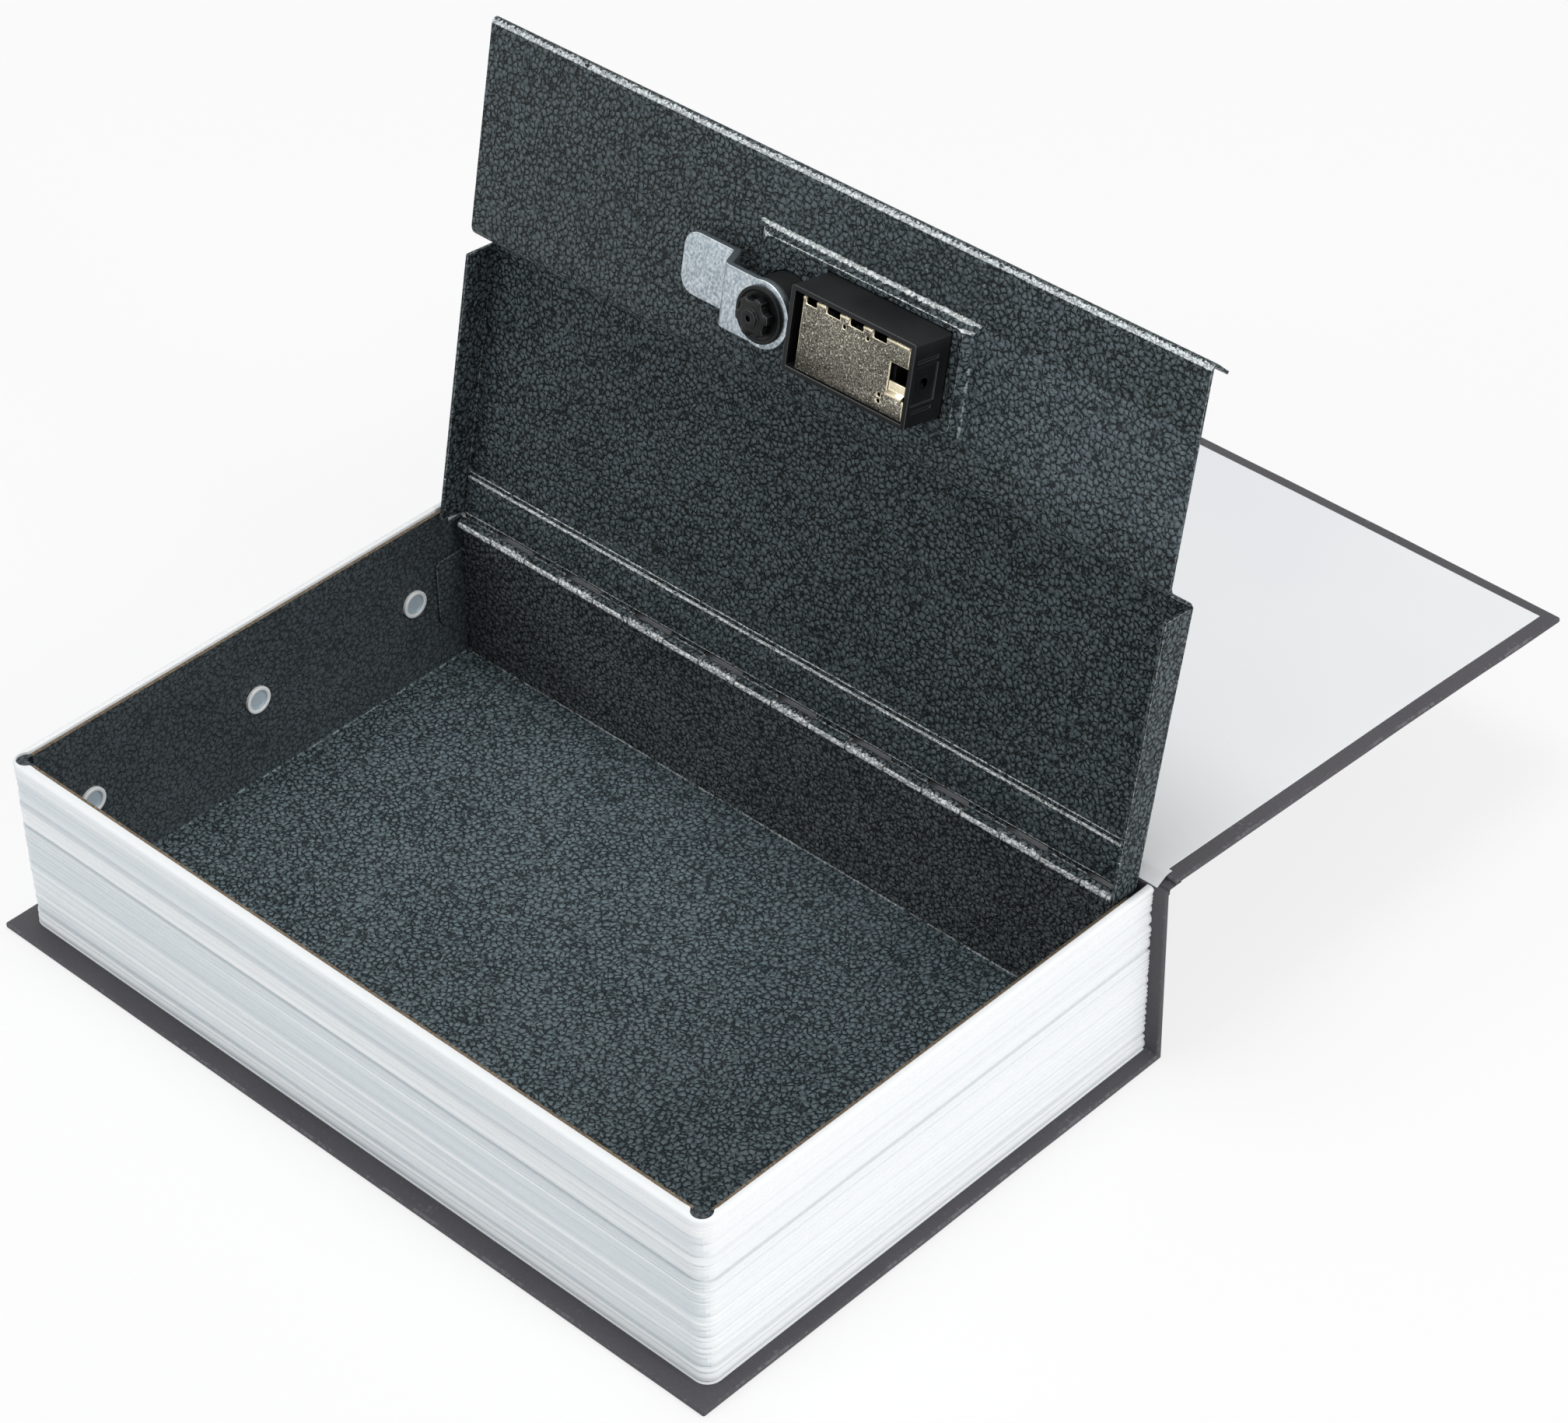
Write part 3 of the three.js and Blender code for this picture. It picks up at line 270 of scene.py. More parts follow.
    @classmethod
    def pick_faces(cls, test: FaceTest) -> None:
        """Select the faces whose middle and normal pass a test."""
        cls.pick("FACE", lambda form: [
            face for face in form.faces if test(face.calc_center_median(), face.normal)
        ])

    @classmethod
    def pick_edges(cls, test: EdgeTest) -> None:
        """Select the edges whose two ends pass a test."""
        cls.pick("EDGE", lambda form: [
            edge for edge in form.edges if test(edge.verts[0].co, edge.verts[1].co)
        ])

    @classmethod
    def pick_points(cls, test: PointTest) -> None:
        """Select the points whose place passes a test."""
        cls.pick("VERT", lambda form: [point for point in form.verts if test(point.co)])

    @staticmethod
    def pull(offset: Point) -> None:
        """Extrude what is selected by an offset."""
        bpy.ops.mesh.extrude_region_move(TRANSFORM_OT_translate={"value": offset})

    @staticmethod
    def inset(thickness: float, depth: float = 0.0) -> None:
        """Inset the selected faces, and raise or sink what is left of them."""
        bpy.ops.mesh.inset(thickness=thickness, depth=depth)

    @staticmethod
    def round(width: float, facets: int, material: int = -1) -> None:
        """Round the selected edges, in their neighbours' finish or in one of the shape's others."""
        bpy.ops.mesh.bevel(offset=width, segments=facets, material=material)

    @classmethod
    def follow(cls, path: Path) -> None:
        """Extrude the selected edges along a path of (Y, Z) points, from its first one."""
        for before, after in zip(path, path[1:]):
            cls.pull((0.0, after[0] - before[0], after[1] - before[1]))

    @staticmethod
    def slice(place: Point, normal: Point) -> None:
        """Cut new edges through the whole shape along a plane."""
        bpy.ops.mesh.select_all(action="SELECT")
        bpy.ops.mesh.bisect(plane_co=place, plane_no=normal)

    @classmethod
    def slices(cls, axis: int, places: Sequence[float]) -> None:
        """Cut the shape at several places along one axis."""
        normal = Vector([float(number == axis) for number in range(3)])
        for place in places:
            cls.slice(normal * place, normal)

    @classmethod
    def divide(cls, axis: int, first: float, pitch: float, count: int) -> None:
        """Cut the shape at even distances along one axis."""
        cls.slices(axis, [first + pitch * i for i in range(count)])

    @classmethod
    def modify(cls, shape: Shape, kind: str, **settings: object) -> None:
        """Add a modifier, set it and apply it."""
        cls.hold(shape)
        tool = shape.modifiers.new(kind, kind)
        for key, value in settings.items():
            setattr(tool, key, value)
        bpy.ops.object.modifier_apply(modifier=tool.name)

    @classmethod
    def soften(
        cls, shape: Shape, width: float, segments: int, angle: float, material: int = -1
    ) -> None:
        """Round every edge that is sharper than an angle.

        Args:
            shape: The shape to round.
            width: Width of the rounding.
            segments: Facets across it.
            angle: Least angle between the faces, in degrees.
            material: Number of the finish that the rounding takes, or -1 for its neighbours' own.
        """
        cls.modify(
            shape, "BEVEL", width=width, segments=segments, limit_method="ANGLE",
            angle_limit=math.radians(angle), material=material, use_clamp_overlap=True,
        )

    @classmethod
    def thicken(cls, shape: Shape, thickness: float, even: bool = True) -> None:
        """Give a sheet its thickness to both sides, by default evenly round its bends."""
        cls.modify(
            shape, "SOLIDIFY", thickness=thickness, offset=0.0, use_even_offset=even,
            use_quality_normals=even,
        )

    @classmethod
    def combine(cls, shape: Shape, tools: Sequence[Shape], how: str) -> None:
        """Use other shapes on this one, as UNION or DIFFERENCE, and clear them away."""
        for tool in tools:
            cls.modify(shape, "BOOLEAN", object=tool, operation=how, solver="EXACT")
            bpy.data.objects.remove(tool, do_unlink=True)

    @classmethod
    def carve(cls, shape: Shape, *tools: Shape) -> None:
        """Cut other shapes out of this one."""
        cls.combine(shape, tools, "DIFFERENCE")

    @classmethod
    def fuse(cls, shape: Shape, *tools: Shape) -> None:
        """Weld other shapes to this one."""
        cls.combine(shape, tools, "UNION")

    @classmethod
    def gather(cls, shape: Shape, *others: Shape) -> None:
        """Make one object of several, each left as it is."""
        cls.hold(shape, *others)
        bpy.ops.object.join()

    @staticmethod
    def shift(shape: Shape, move: PointMove) -> None:
        """Move every point of a shape to where a function says."""
        for point in shape.data.vertices:
            point.co = move(point.co.copy())

    @staticmethod
    def dye(shape: Shape, number: int, test: FaceTest) -> None:
        """Give the faces that pass a test another of the shape's finishes."""
        for face in shape.data.polygons:
            if test(face.center, face.normal):
                face.material_index = number

    @classmethod
    def copy(cls, shape: Shape, name: str) -> Shape:
        """Copy of a shape with its own mesh."""
        cls.hold(shape)
        bpy.ops.object.duplicate(linked=False)
        twin = bpy.context.object
        twin.name = name
        twin.data.name = name
        return twin

    @classmethod
    def turn(cls, shape: Shape, matrix: Matrix) -> None:
        """Apply a placement to a shape."""
        cls.hold(shape)
        shape.matrix_world = matrix
        bpy.ops.object.transform_apply(location=True, rotation=True, scale=True)

    @classmethod
    def sweep_up(cls) -> None:
        """Clear away the placeholders that kept the finishes' numbers while shapes were joined."""
        for material in list(bpy.data.materials):
            if material.name.startswith(cls.TAG):
                bpy.data.materials.remove(material)

    @classmethod
    def deliver(
        cls, shape: Shape, drawing: Drawing, part: Part | None, finishes: Sequence["Finish"],
        slot: str, nodes: Sequence[str] = (), smooth: float = 32.0,
    ) -> None:
        """Bring a finished shape to its place, dress it and mount it.

        Args:
            shape: The shape, drawn in millimetres.
            drawing: The frame that it is drawn in.
            part: The rigid part that it rides on, or None for a piece that rides on none.
            finishes: Its finishes, in the order of their numbers.
            slot: The record's material slot; not used.
            nodes: Nodes of the plain model that it stands for.
            smooth: Edges below this angle are shaded smooth, in degrees.
        """
        cls.turn(shape, drawing.matrix())
        bpy.ops.object.shade_smooth_by_angle(angle=math.radians(smooth))
        numbers = [face.material_index for face in shape.data.polygons]
        shape.data.materials.clear()
        for finish in finishes:
            shape.data.materials.append(finish.material)
        for face, number in zip(shape.data.polygons, numbers):
            face.material_index = min(number, len(finishes) - 1)
        if part is not None:
            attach(shape, part.value)
        if nodes:
            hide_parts(*nodes)
        log.info("%s: %d faces", shape.name, len(shape.data.polygons))


def colour(code: str) -> tuple[float, float, float, float]:
    """Linear colour of a hex code."""
    parts = [int(code[i:i + 2], 16) / 255 for i in (1, 3, 5)]
    linear = [c / 12.92 if c <= 0.04045 else ((c + 0.055) / 1.055) ** 2.4 for c in parts]
    return (*linear, 1.0)


class Recipe:
    """Material written step by step as nodes round one Principled shader."""

    def __init__(self, name: str, base: str, roughness: float, metallic: float = 0.0) -> None:
        """Start a material.

        Args:
            name: Its name.
            base: Hex code of its colour.
            roughness: Its roughness.
            metallic: 1 for bare metal.
        """
        self.material = bpy.data.materials.new(name)
        self.material.use_nodes = True
        self.tree = self.material.node_tree
        self.shader = self.tree.nodes["Principled BSDF"]
        self.set(Base_Color=colour(base), Roughness=roughness, Metallic=metallic)
        self.place = self.node("ShaderNodeTexCoord").outputs["Object"]

    def node(self, kind: str, **settings: object) -> bpy.types.Node:
        """Add a node and set its properties."""
        node = self.tree.nodes.new(kind)
        for key, value in settings.items():
            setattr(node, key, value)
        return node

    def wire(self, source: object, socket: Socket) -> None:
        """Feed a socket from an output, or set it to a plain value."""
        if isinstance(source, Socket):
            self.tree.links.new(source, socket)
        else:
            socket.default_value = source

    def stretched(self, scale: Point, turn: Point = (0.0, 0.0, 0.0)) -> Socket:
        """The surface's place, turned and stretched for a pattern that runs one way."""
        mapping = self.node("ShaderNodeMapping")
        mapping.inputs["Scale"].default_value = scale
        mapping.inputs["Rotation"].default_value = [math.radians(angle) for angle in turn]
        self.wire(self.place, mapping.inputs["Vector"])
        return mapping.outputs["Vector"]

    def clouds(
        self, scale: float, detail: float = 2.0, rough: float = 0.5, place: Socket | None = None
    ) -> Socket:
        """Soft noise, with scale in waves per metre."""
        node = self.node("ShaderNodeTexNoise")
        node.inputs["Scale"].default_value = scale
        node.inputs["Detail"].default_value = detail
        node.inputs["Roughness"].default_value = rough
        self.wire(place or self.place, node.inputs["Vector"])
        return node.outputs["Fac"]

    def cells(
        self, scale: float, feature: str = "F1", place: Socket | None = None
    ) -> Socket:
        """Distance in a field of irregular cells."""
        node = self.node("ShaderNodeTexVoronoi", feature=feature)
        node.inputs["Scale"].default_value = scale
        self.wire(place or self.place, node.inputs["Vector"])
        return node.outputs["Distance"]

    def wobbled(self, scale: float, amount: float) -> Socket:
        """The surface's place, disturbed by noise so that cells lose their straight sides."""
        node = self.node("ShaderNodeTexNoise")
        node.inputs["Scale"].default_value = scale
        self.wire(self.place, node.inputs["Vector"])
        centre = self.node("ShaderNodeVectorMath", operation="SUBTRACT")
        self.wire(node.outputs["Color"], centre.inputs[0])
        centre.inputs[1].default_value = (0.5, 0.5, 0.5)
        reach = self.node("ShaderNodeVectorMath", operation="SCALE")
        self.wire(centre.outputs[0], reach.inputs[0])
        reach.inputs["Scale"].default_value = amount
        total = self.node("ShaderNodeVectorMath", operation="ADD")
        self.wire(self.place, total.inputs[0])
        self.wire(reach.outputs[0], total.inputs[1])
        return total.outputs[0]

    def reckon(self, how: str, a: object, b: object = 0.0) -> Socket:
        """Arithmetic on one or two values."""
        node = self.node("ShaderNodeMath", operation=how)
        self.wire(a, node.inputs[0])
        self.wire(b, node.inputs[1])
        return node.outputs[0]

    def span(
        self, source: object, low: float, high: float, to_low: float = 0.0, to_high: float = 1.0
    ) -> Socket:
        """Map a range of values smoothly onto another."""
        node = self.node("ShaderNodeMapRange", interpolation_type="SMOOTHSTEP")
        self.wire(source, node.inputs["Value"])
        ends = {"From Min": low, "From Max": high, "To Min": to_low, "To Max": to_high}
        for key, value in ends.items():
            node.inputs[key].default_value = value
        return node.outputs["Result"]

    def tint(self, share: object, first: object, second: object) -> Socket:
        """Mix two colours, each a hex code or an output."""
        node = self.node("ShaderNodeMix", data_type="RGBA")
        self.wire(share, node.inputs[0])
        for source, socket in ((first, node.inputs[6]), (second, node.inputs[7])):
            self.wire(colour(source) if isinstance(source, str) else source, socket)
        return node.outputs[2]

    def relief(
        self, height: object, depth: float, strength: float = 1.0, under: object | None = None
    ) -> Socket:
        """Bump of a given depth in metres, on top of another one if it is given."""
        node = self.node("ShaderNodeBump")
        node.inputs["Strength"].default_value = strength
        node.inputs["Distance"].default_value = depth
        self.wire(height, node.inputs["Height"])
        if under is not None:
            self.wire(under, node.inputs["Normal"])
        return node.outputs["Normal"]

    def wear_and_highlight_line(self, line: "WearAndHighlightLine") -> Socket:
        """Ragged, broken line on a plane across the surface: 1 on it and 0 beside it."""
        across = self.node("ShaderNodeVectorMath", operation="DOT_PRODUCT")
        self.wire(self.place, across.inputs[0])
        across.inputs[1].default_value = line.across
        off = self.reckon("SUBTRACT", across.outputs["Value"], line.place * MM)
        off = self.reckon("ABSOLUTE", off)
        wander = self.reckon("SUBTRACT", self.clouds(1700.0, 2.0), 0.5)
        off = self.reckon("ADD", off, self.reckon("MULTIPLY", wander, line.ragged * MM))
        near = self.span(off, 0.8 * line.half * MM, 1.2 * line.half * MM, 1.0, 0.0)
        kept = self.span(self.clouds(430.0, 2.0), line.gaps - 0.03, line.gaps + 0.03)
        return self.reckon("MULTIPLY", near, kept)

    def set(self, **sources: object) -> "Recipe":
        """Feed the shader's sockets, with underscores for the blanks in their names."""
        for key, source in sources.items():
            self.wire(source, self.shader.inputs[key.replace("_", " ")])
        return self


@dataclass(frozen=True)
class WearAndHighlightLine:
    """Line across the surface, used both for bare metal where a fold has broken the paint and for
    painted highlights along bends.

    Args:
        across: Direction across the line.
        place: Where the line lies along that direction, in millimetres.
        half: Half its width, in millimetres.
        ragged: How far its borders wander, in millimetres.
        gaps: More than 0.4 for a line that is often broken.
    """

    across: Point
    place: float
    half: float
    ragged: float = 0.5
    gaps: float = 0.36


@dataclass(frozen=True)
class WrinkleCoat:
    """Slate powder coat that dries in leather-like cells, with painted shade in the seams, painted
    highlights on the raised cells and painted glints; chipped, or given a pale line, where the
    steel is folded.
    """

    name: str
    base: str = "#4c5659"
    light: str = "#566064"
    # Colour of the painted highlight on the cells' raised middles.
    crown: str = "#677277"
    # Colour of the painted shade in the seams between the cells.
    crease_shade: str = "#0b0d0e"
    cell: float = 660.0
    depth: float = 1.0
    shine: float = 0.14
    roughness: float = 0.42
    chipping: float = 0.0
    bright: str = "#dfe4e3"
    lines: tuple[WearAndHighlightLine, ...] = ()

    def mix(self) -> bpy.types.Material:
        """Make the material."""
        recipe = Recipe(self.name, self.base, self.roughness)
        recipe.set(Specular_IOR_Level=self.shine)
        spread = recipe.wobbled(900.0, 0.0011)
        breaks = recipe.span(recipe.clouds(1.5 * self.cell, 1.0), 0.36, 0.56, 0.2, 1.0)
        body = recipe.cells(self.cell, "SMOOTH_F1", spread)
        seams = recipe.cells(self.cell, "DISTANCE_TO_EDGE", spread)
        drift = recipe.clouds(38.0, 3.0)
        grain = recipe.clouds(2600.0, 2.0)
        shade = recipe.tint(recipe.span(drift, 0.3, 0.7), self.base, self.light)
        # Painted highlight: the raised middles of the cells are lightened towards the crown colour.
        shade = recipe.tint(recipe.span(body, 0.1, 0.45, 0.8, 0.0), shade, self.crown)
        # Painted shade: the colour of the seams between the cells is darkened towards a near-black;
        # the same seams also sink in the bump.
        creases = recipe.reckon("MULTIPLY", recipe.span(seams, 0.01, 0.17, 1.0, 0.0), breaks)
        dark = recipe.reckon("MULTIPLY", creases, 0.35 + 0.5 * self.depth)
        shade = recipe.tint(dark, shade, self.crease_shade)
        # Painted glints: small pale flecks scattered over the coat.
        painted_glints = recipe.span(recipe.clouds(1500.0, 1.0), 0.72, 0.76)
        shade = recipe.tint(recipe.reckon("MULTIPLY", painted_glints, 0.6), shade, "#9aa5a8")
        height = recipe.reckon("MULTIPLY", creases, -0.9)
        height = recipe.reckon("SUBTRACT", height, recipe.reckon("MULTIPLY", body, 0.7))
        bump = recipe.relief(grain, 0.00004, 0.35)
        bump = recipe.relief(height, 0.0009 * self.depth, 1.0, bump)
        bump = recipe.relief(recipe.clouds(14.0, 1.0), 0.002, 0.12, bump)
        rough = recipe.span(drift, 0.3, 0.7, self.roughness - 0.05, self.roughness + 0.08)
        # Pale lines, some of bare metal and some painted highlights, or chipping on the rounded
        # edges.
        if self.lines:
            wear_and_highlight = recipe.wear_and_highlight_line(self.lines[0])
            for line in self.lines[1:]:
                wear_and_highlight = recipe.reckon("MAXIMUM", wear_and_highlight, recipe.wear_and_highlight_line(line))
        elif self.chipping > 0.0:
            patches = recipe.reckon("ADD", recipe.clouds(210.0, 2.0), recipe.clouds(1400.0, 2.0))
            edge = 1.24 - 0.36 * self.chipping
            wear_and_highlight = recipe.span(patches, edge - 0.05, edge + 0.05)
        else:
            return recipe.set(Base_Color=shade, Roughness=rough, Normal=bump).material
        shade = recipe.tint(wear_and_highlight, shade, self.bright)
        metal = recipe.reckon("MULTIPLY", wear_and_highlight, 0.1)
        rough = recipe.span(wear_and_highlight, 0.0, 1.0, self.roughness, 0.5)
        return recipe.set(Base_Color=shade, Metallic=metal, Roughness=rough, Normal=bump).material


@dataclass(frozen=True)
class CoverPaper:
    """Dark matt bookbinding paper with a fine grain, paler where it is rubbed."""

    name: str
    base: str = "#454347"
    pale: str = "#57555a"
    rubbing: float = 0.0

    def mix(self) -> bpy.types.Material:
        """Make the material."""
        recipe = Recipe(self.name, self.base, 0.72)
        grain = recipe.clouds(1700.0, 3.0, 0.6)
        drift = recipe.clouds(30.0, 4.0)
        shade = recipe.tint(recipe.span(drift, 0.3, 0.7), self.base, "#4b494d")
        shade = recipe.tint(recipe.span(grain, 0.35, 0.7, 0.0, 0.35), shade, self.pale)
        worn = recipe.reckon("ADD", recipe.clouds(70.0, 3.0), recipe.clouds(900.0, 2.0))
        mask = recipe.span(worn, 1.2 - 0.4 * self.rubbing, 1.45 - 0.35 * self.rubbing, 0.0, 0.5)
        shade = recipe.tint(mask, shade, "#7c7a7f")
        bump = recipe.relief(grain, 0.00006, 0.5)
        bump = recipe.relief(recipe.clouds(60.0, 2.0), 0.0004, 0.15, bump)
        return recipe.set(Base_Color=shade, Normal=bump).material


@dataclass(frozen=True)
class LiningPaper:
    """Smooth white endpaper with a faint tooth."""

    name: str
    base: str = "#e9ecef"

    def mix(self) -> bpy.types.Material:
        """Make the material."""
        recipe = Recipe(self.name, self.base, 0.6)
        drift = recipe.clouds(9.0, 2.0)
        shade = recipe.tint(recipe.span(drift, 0.3, 0.7), "#f0f2f5", "#f5f7f8")
        specks = recipe.span(recipe.clouds(520.0, 2.0), 0.75, 0.79, 0.0, 0.12)
        shade = recipe.tint(specks, shade, "#b9bdc2")
        bump = recipe.relief(recipe.clouds(1300.0, 3.0), 0.00003, 0.4)
        bump = recipe.relief(recipe.clouds(22.0, 2.0), 0.0006, 0.12, bump)
        return recipe.set(Base_Color=shade, Normal=bump).material


@dataclass(frozen=True)
class PageMoulding:
    """White moulded plastic with fine page lines along the book."""

    name: str
    base: str = "#f3f5f6"
    line: str = "#dfe6ea"
    lines: float = 1.0

    def mix(self) -> bpy.types.Material:
        """Make the material."""
        recipe = Recipe(self.name, self.base, 0.42)
        leaves = recipe.clouds(1.0, 1.0, 0.5, recipe.stretched((3.0, 3.0, 1300.0)))
        bundles = recipe.clouds(1.0, 1.0, 0.5, recipe.stretched((5.0, 5.0, 420.0)))
        stack = recipe.reckon("ADD", recipe.reckon("MULTIPLY", leaves, 0.4), bundles)
        gaps = recipe.span(stack, 0.5, 0.85, 0.4 * self.lines, 0.0)
        shade = recipe.tint(gaps, self.base, self.line)
        slant = recipe.stretched((60.0, 60.0, 420.0), (4.0, 6.0, 0.0))
        scuffs = recipe.clouds(1.0, 2.0, 0.5, slant)
        marks = recipe.span(scuffs, 0.77, 0.79, 0.0, 0.4 * self.lines)
        shade = recipe.tint(marks, shade, "#9aa0a6")
        bump = recipe.relief(recipe.clouds(900.0, 2.0), 0.00002, 0.3)
        bump = recipe.relief(stack, 0.00007 * self.lines + 0.000001, 0.4, bump)
        return recipe.set(Base_Color=shade, Normal=bump).material


@dataclass(frozen=True)
class Plating:
    """Plated sheet metal with a grain, brushed one way or speckled."""

    name: str
    base: str
    deep: str
    roughness: float = 0.3
    grain: float = 1500.0
    stretch: Point = (1.0, 1.0, 1.0)
    speckle: float = 0.0

    def mix(self) -> bpy.types.Material:
        """Make the material."""
        recipe = Recipe(self.name, self.base, self.roughness, 1.0)
        streaks = recipe.clouds(self.grain, 3.0, 0.6, recipe.stretched(self.stretch))
        drift = recipe.clouds(120.0, 3.0)
        shade = recipe.tint(recipe.span(streaks, 0.3, 0.7), self.deep, self.base)
        shade = recipe.tint(recipe.span(drift, 0.35, 0.75, 0.0, 0.35), shade, self.deep)
        if self.speckle > 0.0:
            dots = recipe.span(recipe.clouds(2900.0, 1.0), 0.4, 0.52, self.speckle, 0.0)
            shade = recipe.tint(dots, shade, "#2c2a25")
            sparks = recipe.span(recipe.clouds(2300.0, 1.0), 0.6, 0.7, 0.0, self.speckle)
            shade = recipe.tint(sparks, shade, "#efe9da")
        rough = recipe.span(streaks, 0.3, 0.7, self.roughness + 0.12, self.roughness - 0.05)
        bump = recipe.relief(streaks, 0.00004, 0.35)
        return recipe.set(Base_Color=shade, Roughness=rough, Normal=bump).material


@dataclass(frozen=True)
class Moulding:
    """Moulded plastic with a faint spark-eroded grain."""

    name: str
    base: str
    worn: str
    roughness: float = 0.45
    shine: float = 0.5

    def mix(self) -> bpy.types.Material:
        """Make the material."""
        recipe = Recipe(self.name, self.base, self.roughness)
        recipe.set(Specular_IOR_Level=self.shine)
        grain = recipe.clouds(1800.0, 2.0)
        drift = recipe.clouds(90.0, 3.0)
        shade = recipe.tint(recipe.span(drift, 0.4, 0.75, 0.0, 0.6), self.base, self.worn)
        rough = recipe.span(drift, 0.3, 0.7, self.roughness - 0.06, self.roughness + 0.08)
        bump = recipe.relief(grain, 0.00003, 0.35)
        return recipe.set(Base_Color=shade, Roughness=rough, Normal=bump).material


# Directions across the folds: of the box, of the lid's pocket, and of the lid as it stands open.
UP = (0.0, 0.0, 1.0)
ALONG = (1.0, 0.0, 0.0)
LID_REACH = (0.0, 0.204496, 0.978867)


class Finish(Enum):
    """Finishes of the book safe."""

    PAINT = WrinkleCoat("slate_wrinkle_coat", depth=1.15)
    # Darker copy of the slate coat for the walls and tabs: painted shade.
    WALL_PAINT = WrinkleCoat(
        "wall_wrinkle_coat", base="#484f53", light="#50585c", crown="#586166", crease_shade="#111416",
        depth=0.4,
    )
    # Lighter, shinier copy of the slate coat for the box's floor: painted light.
    FLOOR_PAINT = WrinkleCoat(
        "floor_wrinkle_coat", base="#5c6a6f", light="#657378", crown="#76888f", crease_shade="#12171a",
        depth=0.95, shine=0.26,
    )
    # Lighter copy of the slate coat for the rear panel: painted light.
    REAR_PAINT = WrinkleCoat(
        "rear_wrinkle_coat", base="#565b5e", light="#62676a", crown="#757b7e", crease_shade="#0d0e0f",
        depth=1.2, shine=0.3,
    )
    # Fold round the floor: a lighter copy of the coat with a thin pale line, a painted highlight on
    # the rounded fold.
    FLOOR_FOLD = WrinkleCoat(
        "floor_fold", base="#535e63", light="#5b666b", crown="#64727a", crease_shade="#15191b",
        depth=0.5, bright="#9eaaae", lines=(WearAndHighlightLine(UP, 3.62, 0.12, 0.5, 0.52),),
    )
    REAR_FOOT = replace(
        REAR_PAINT, name="rear_foot", bright="#eceeee", lines=(WearAndHighlightLine(UP, 3.8, 0.3, 0.3, 0.4),)
    )
    EDGE_LINE = WrinkleCoat("edge_line", chipping=1.1, bright="#7b8488")
    JOGGLE = WrinkleCoat(
        "joggle_fold", bright="#828b8d", lines=(WearAndHighlightLine(LID_REACH, 144.3, 0.1, 0.4, 0.5),)
    )
    LEAF = WrinkleCoat(
        "leaf_edge", bright="#e9eced", lines=(WearAndHighlightLine(LID_REACH, 73.55, 0.26, 0.5, 0.34),)
    )
    BESIDE_LEAF = WrinkleCoat(
        "beside_leaf", bright="#e9eced", lines=(WearAndHighlightLine(LID_REACH, 74.5, 0.16, 0.4, 0.38),)
    )
    # Near-black painted shade for the lid's sheet behind the hinge's slots.
    SHADE = Moulding("shaded_steel", "#090a0b", "#0d0e0f", 0.7, 0.1)
    FOLD = WrinkleCoat("chipped_fold", chipping=1.0)
    SCUFFED = WrinkleCoat("scuffed_edge", chipping=0.55)
    BRIGHT_FOLD = WrinkleCoat("bright_fold", chipping=1.2, bright="#eef1f1")
    LIP = WrinkleCoat(
        "lip_fold", bright="#e2e8ea", lines=(WearAndHighlightLine(LID_REACH, 199.7, 0.6, 1.9, 0.28),)
    )
    # Front of the knuckles: a lighter copy of the coat with a broad pale line, a painted highlight
    # along their crests.
    KNUCKLE = WrinkleCoat(
        "knuckle_front", base="#586165", light="#626b6f", crown="#79848a", depth=1.2,
        bright="#f4f6f6", lines=(WearAndHighlightLine(UP, 47.12, 0.74, 1.3, 0.3),),
    )
    POCKET_FAR = WrinkleCoat(
        "pocket_far_fold", bright="#edf2f2",
        lines=(
            WearAndHighlightLine(LID_REACH, 183.8, 0.48, 0.9, 0.26), WearAndHighlightLine(LID_REACH, 181.7, 0.4, 0.8, 0.32),
        ),
    )
    POCKET_END = WrinkleCoat(
        "pocket_end_fold", base="#566166", light="#616c71", crown="#707c81",
        bright="#a9b4b6", lines=(WearAndHighlightLine(ALONG, 47.5, 0.2, 0.8, 0.5),),
    )
    CASE_PAPER = CoverPaper("case_paper_grain")
    RUBBED_PAPER = CoverPaper("rubbed_paper_edge", rubbing=0.6)
    LINING = LiningPaper("white_lining")
    PAGES = PageMoulding("page_edges", lines=0.55)
    PAGES_FRONT = PageMoulding("front_page_edges", "#fafbfc", "#cdd5da", 1.5)
    # Greyer copy for the front grooves' downward flanks: painted shade.
    PAGES_DEEP = PageMoulding("page_grooves", "#d3dbdf", "#b9c2c8", 1.2)
    PAGES_HALF = PageMoulding("page_flanks", "#e9eef1", "#cbd3d8", 1.3)
    # Greyer copy for the side grooves' downward flanks: painted shade.
    PAGES_FAINT = PageMoulding("page_side_grooves", "#e2e6e8", "#d6dbdf", 0.7)
    PAGE_RIM = PageMoulding("page_rim", lines=0.0)
    NYLON = Moulding("white_nylon", "#fbfcfc", "#f2f4f4", 0.3)
    # Painted shade in the dished middle of the white rivet heads.
    NYLON_DISH = Moulding("nylon_dish", "#b9c8d1", "#adbcc6", 0.35)
    BLACK = Moulding("black_moulding", "#0b0c0d", "#141517", 0.48, 0.26)
    # Painted highlight on the rounded edges of the black parts.
    BLACK_EDGE = Moulding("black_edge", "#3a3d40", "#2b2d30", 0.3)
    NICKEL = Plating("grainy_nickel", "#a39e91", "#4f4c44", 0.42, 2600.0, speckle=0.8)
    # Bright nickel; on the plate's edges and bent tab ends it is a painted highlight.
    BRIGHT_NICKEL = Plating("bright_nickel_edge", "#f2e8cf", "#c9bd9f", 0.22)
    ZINC = Plating("bright_zinc", "#d3dbe0", "#8a979f", 0.34, 1500.0, (1.0, 1.0, 0.7))
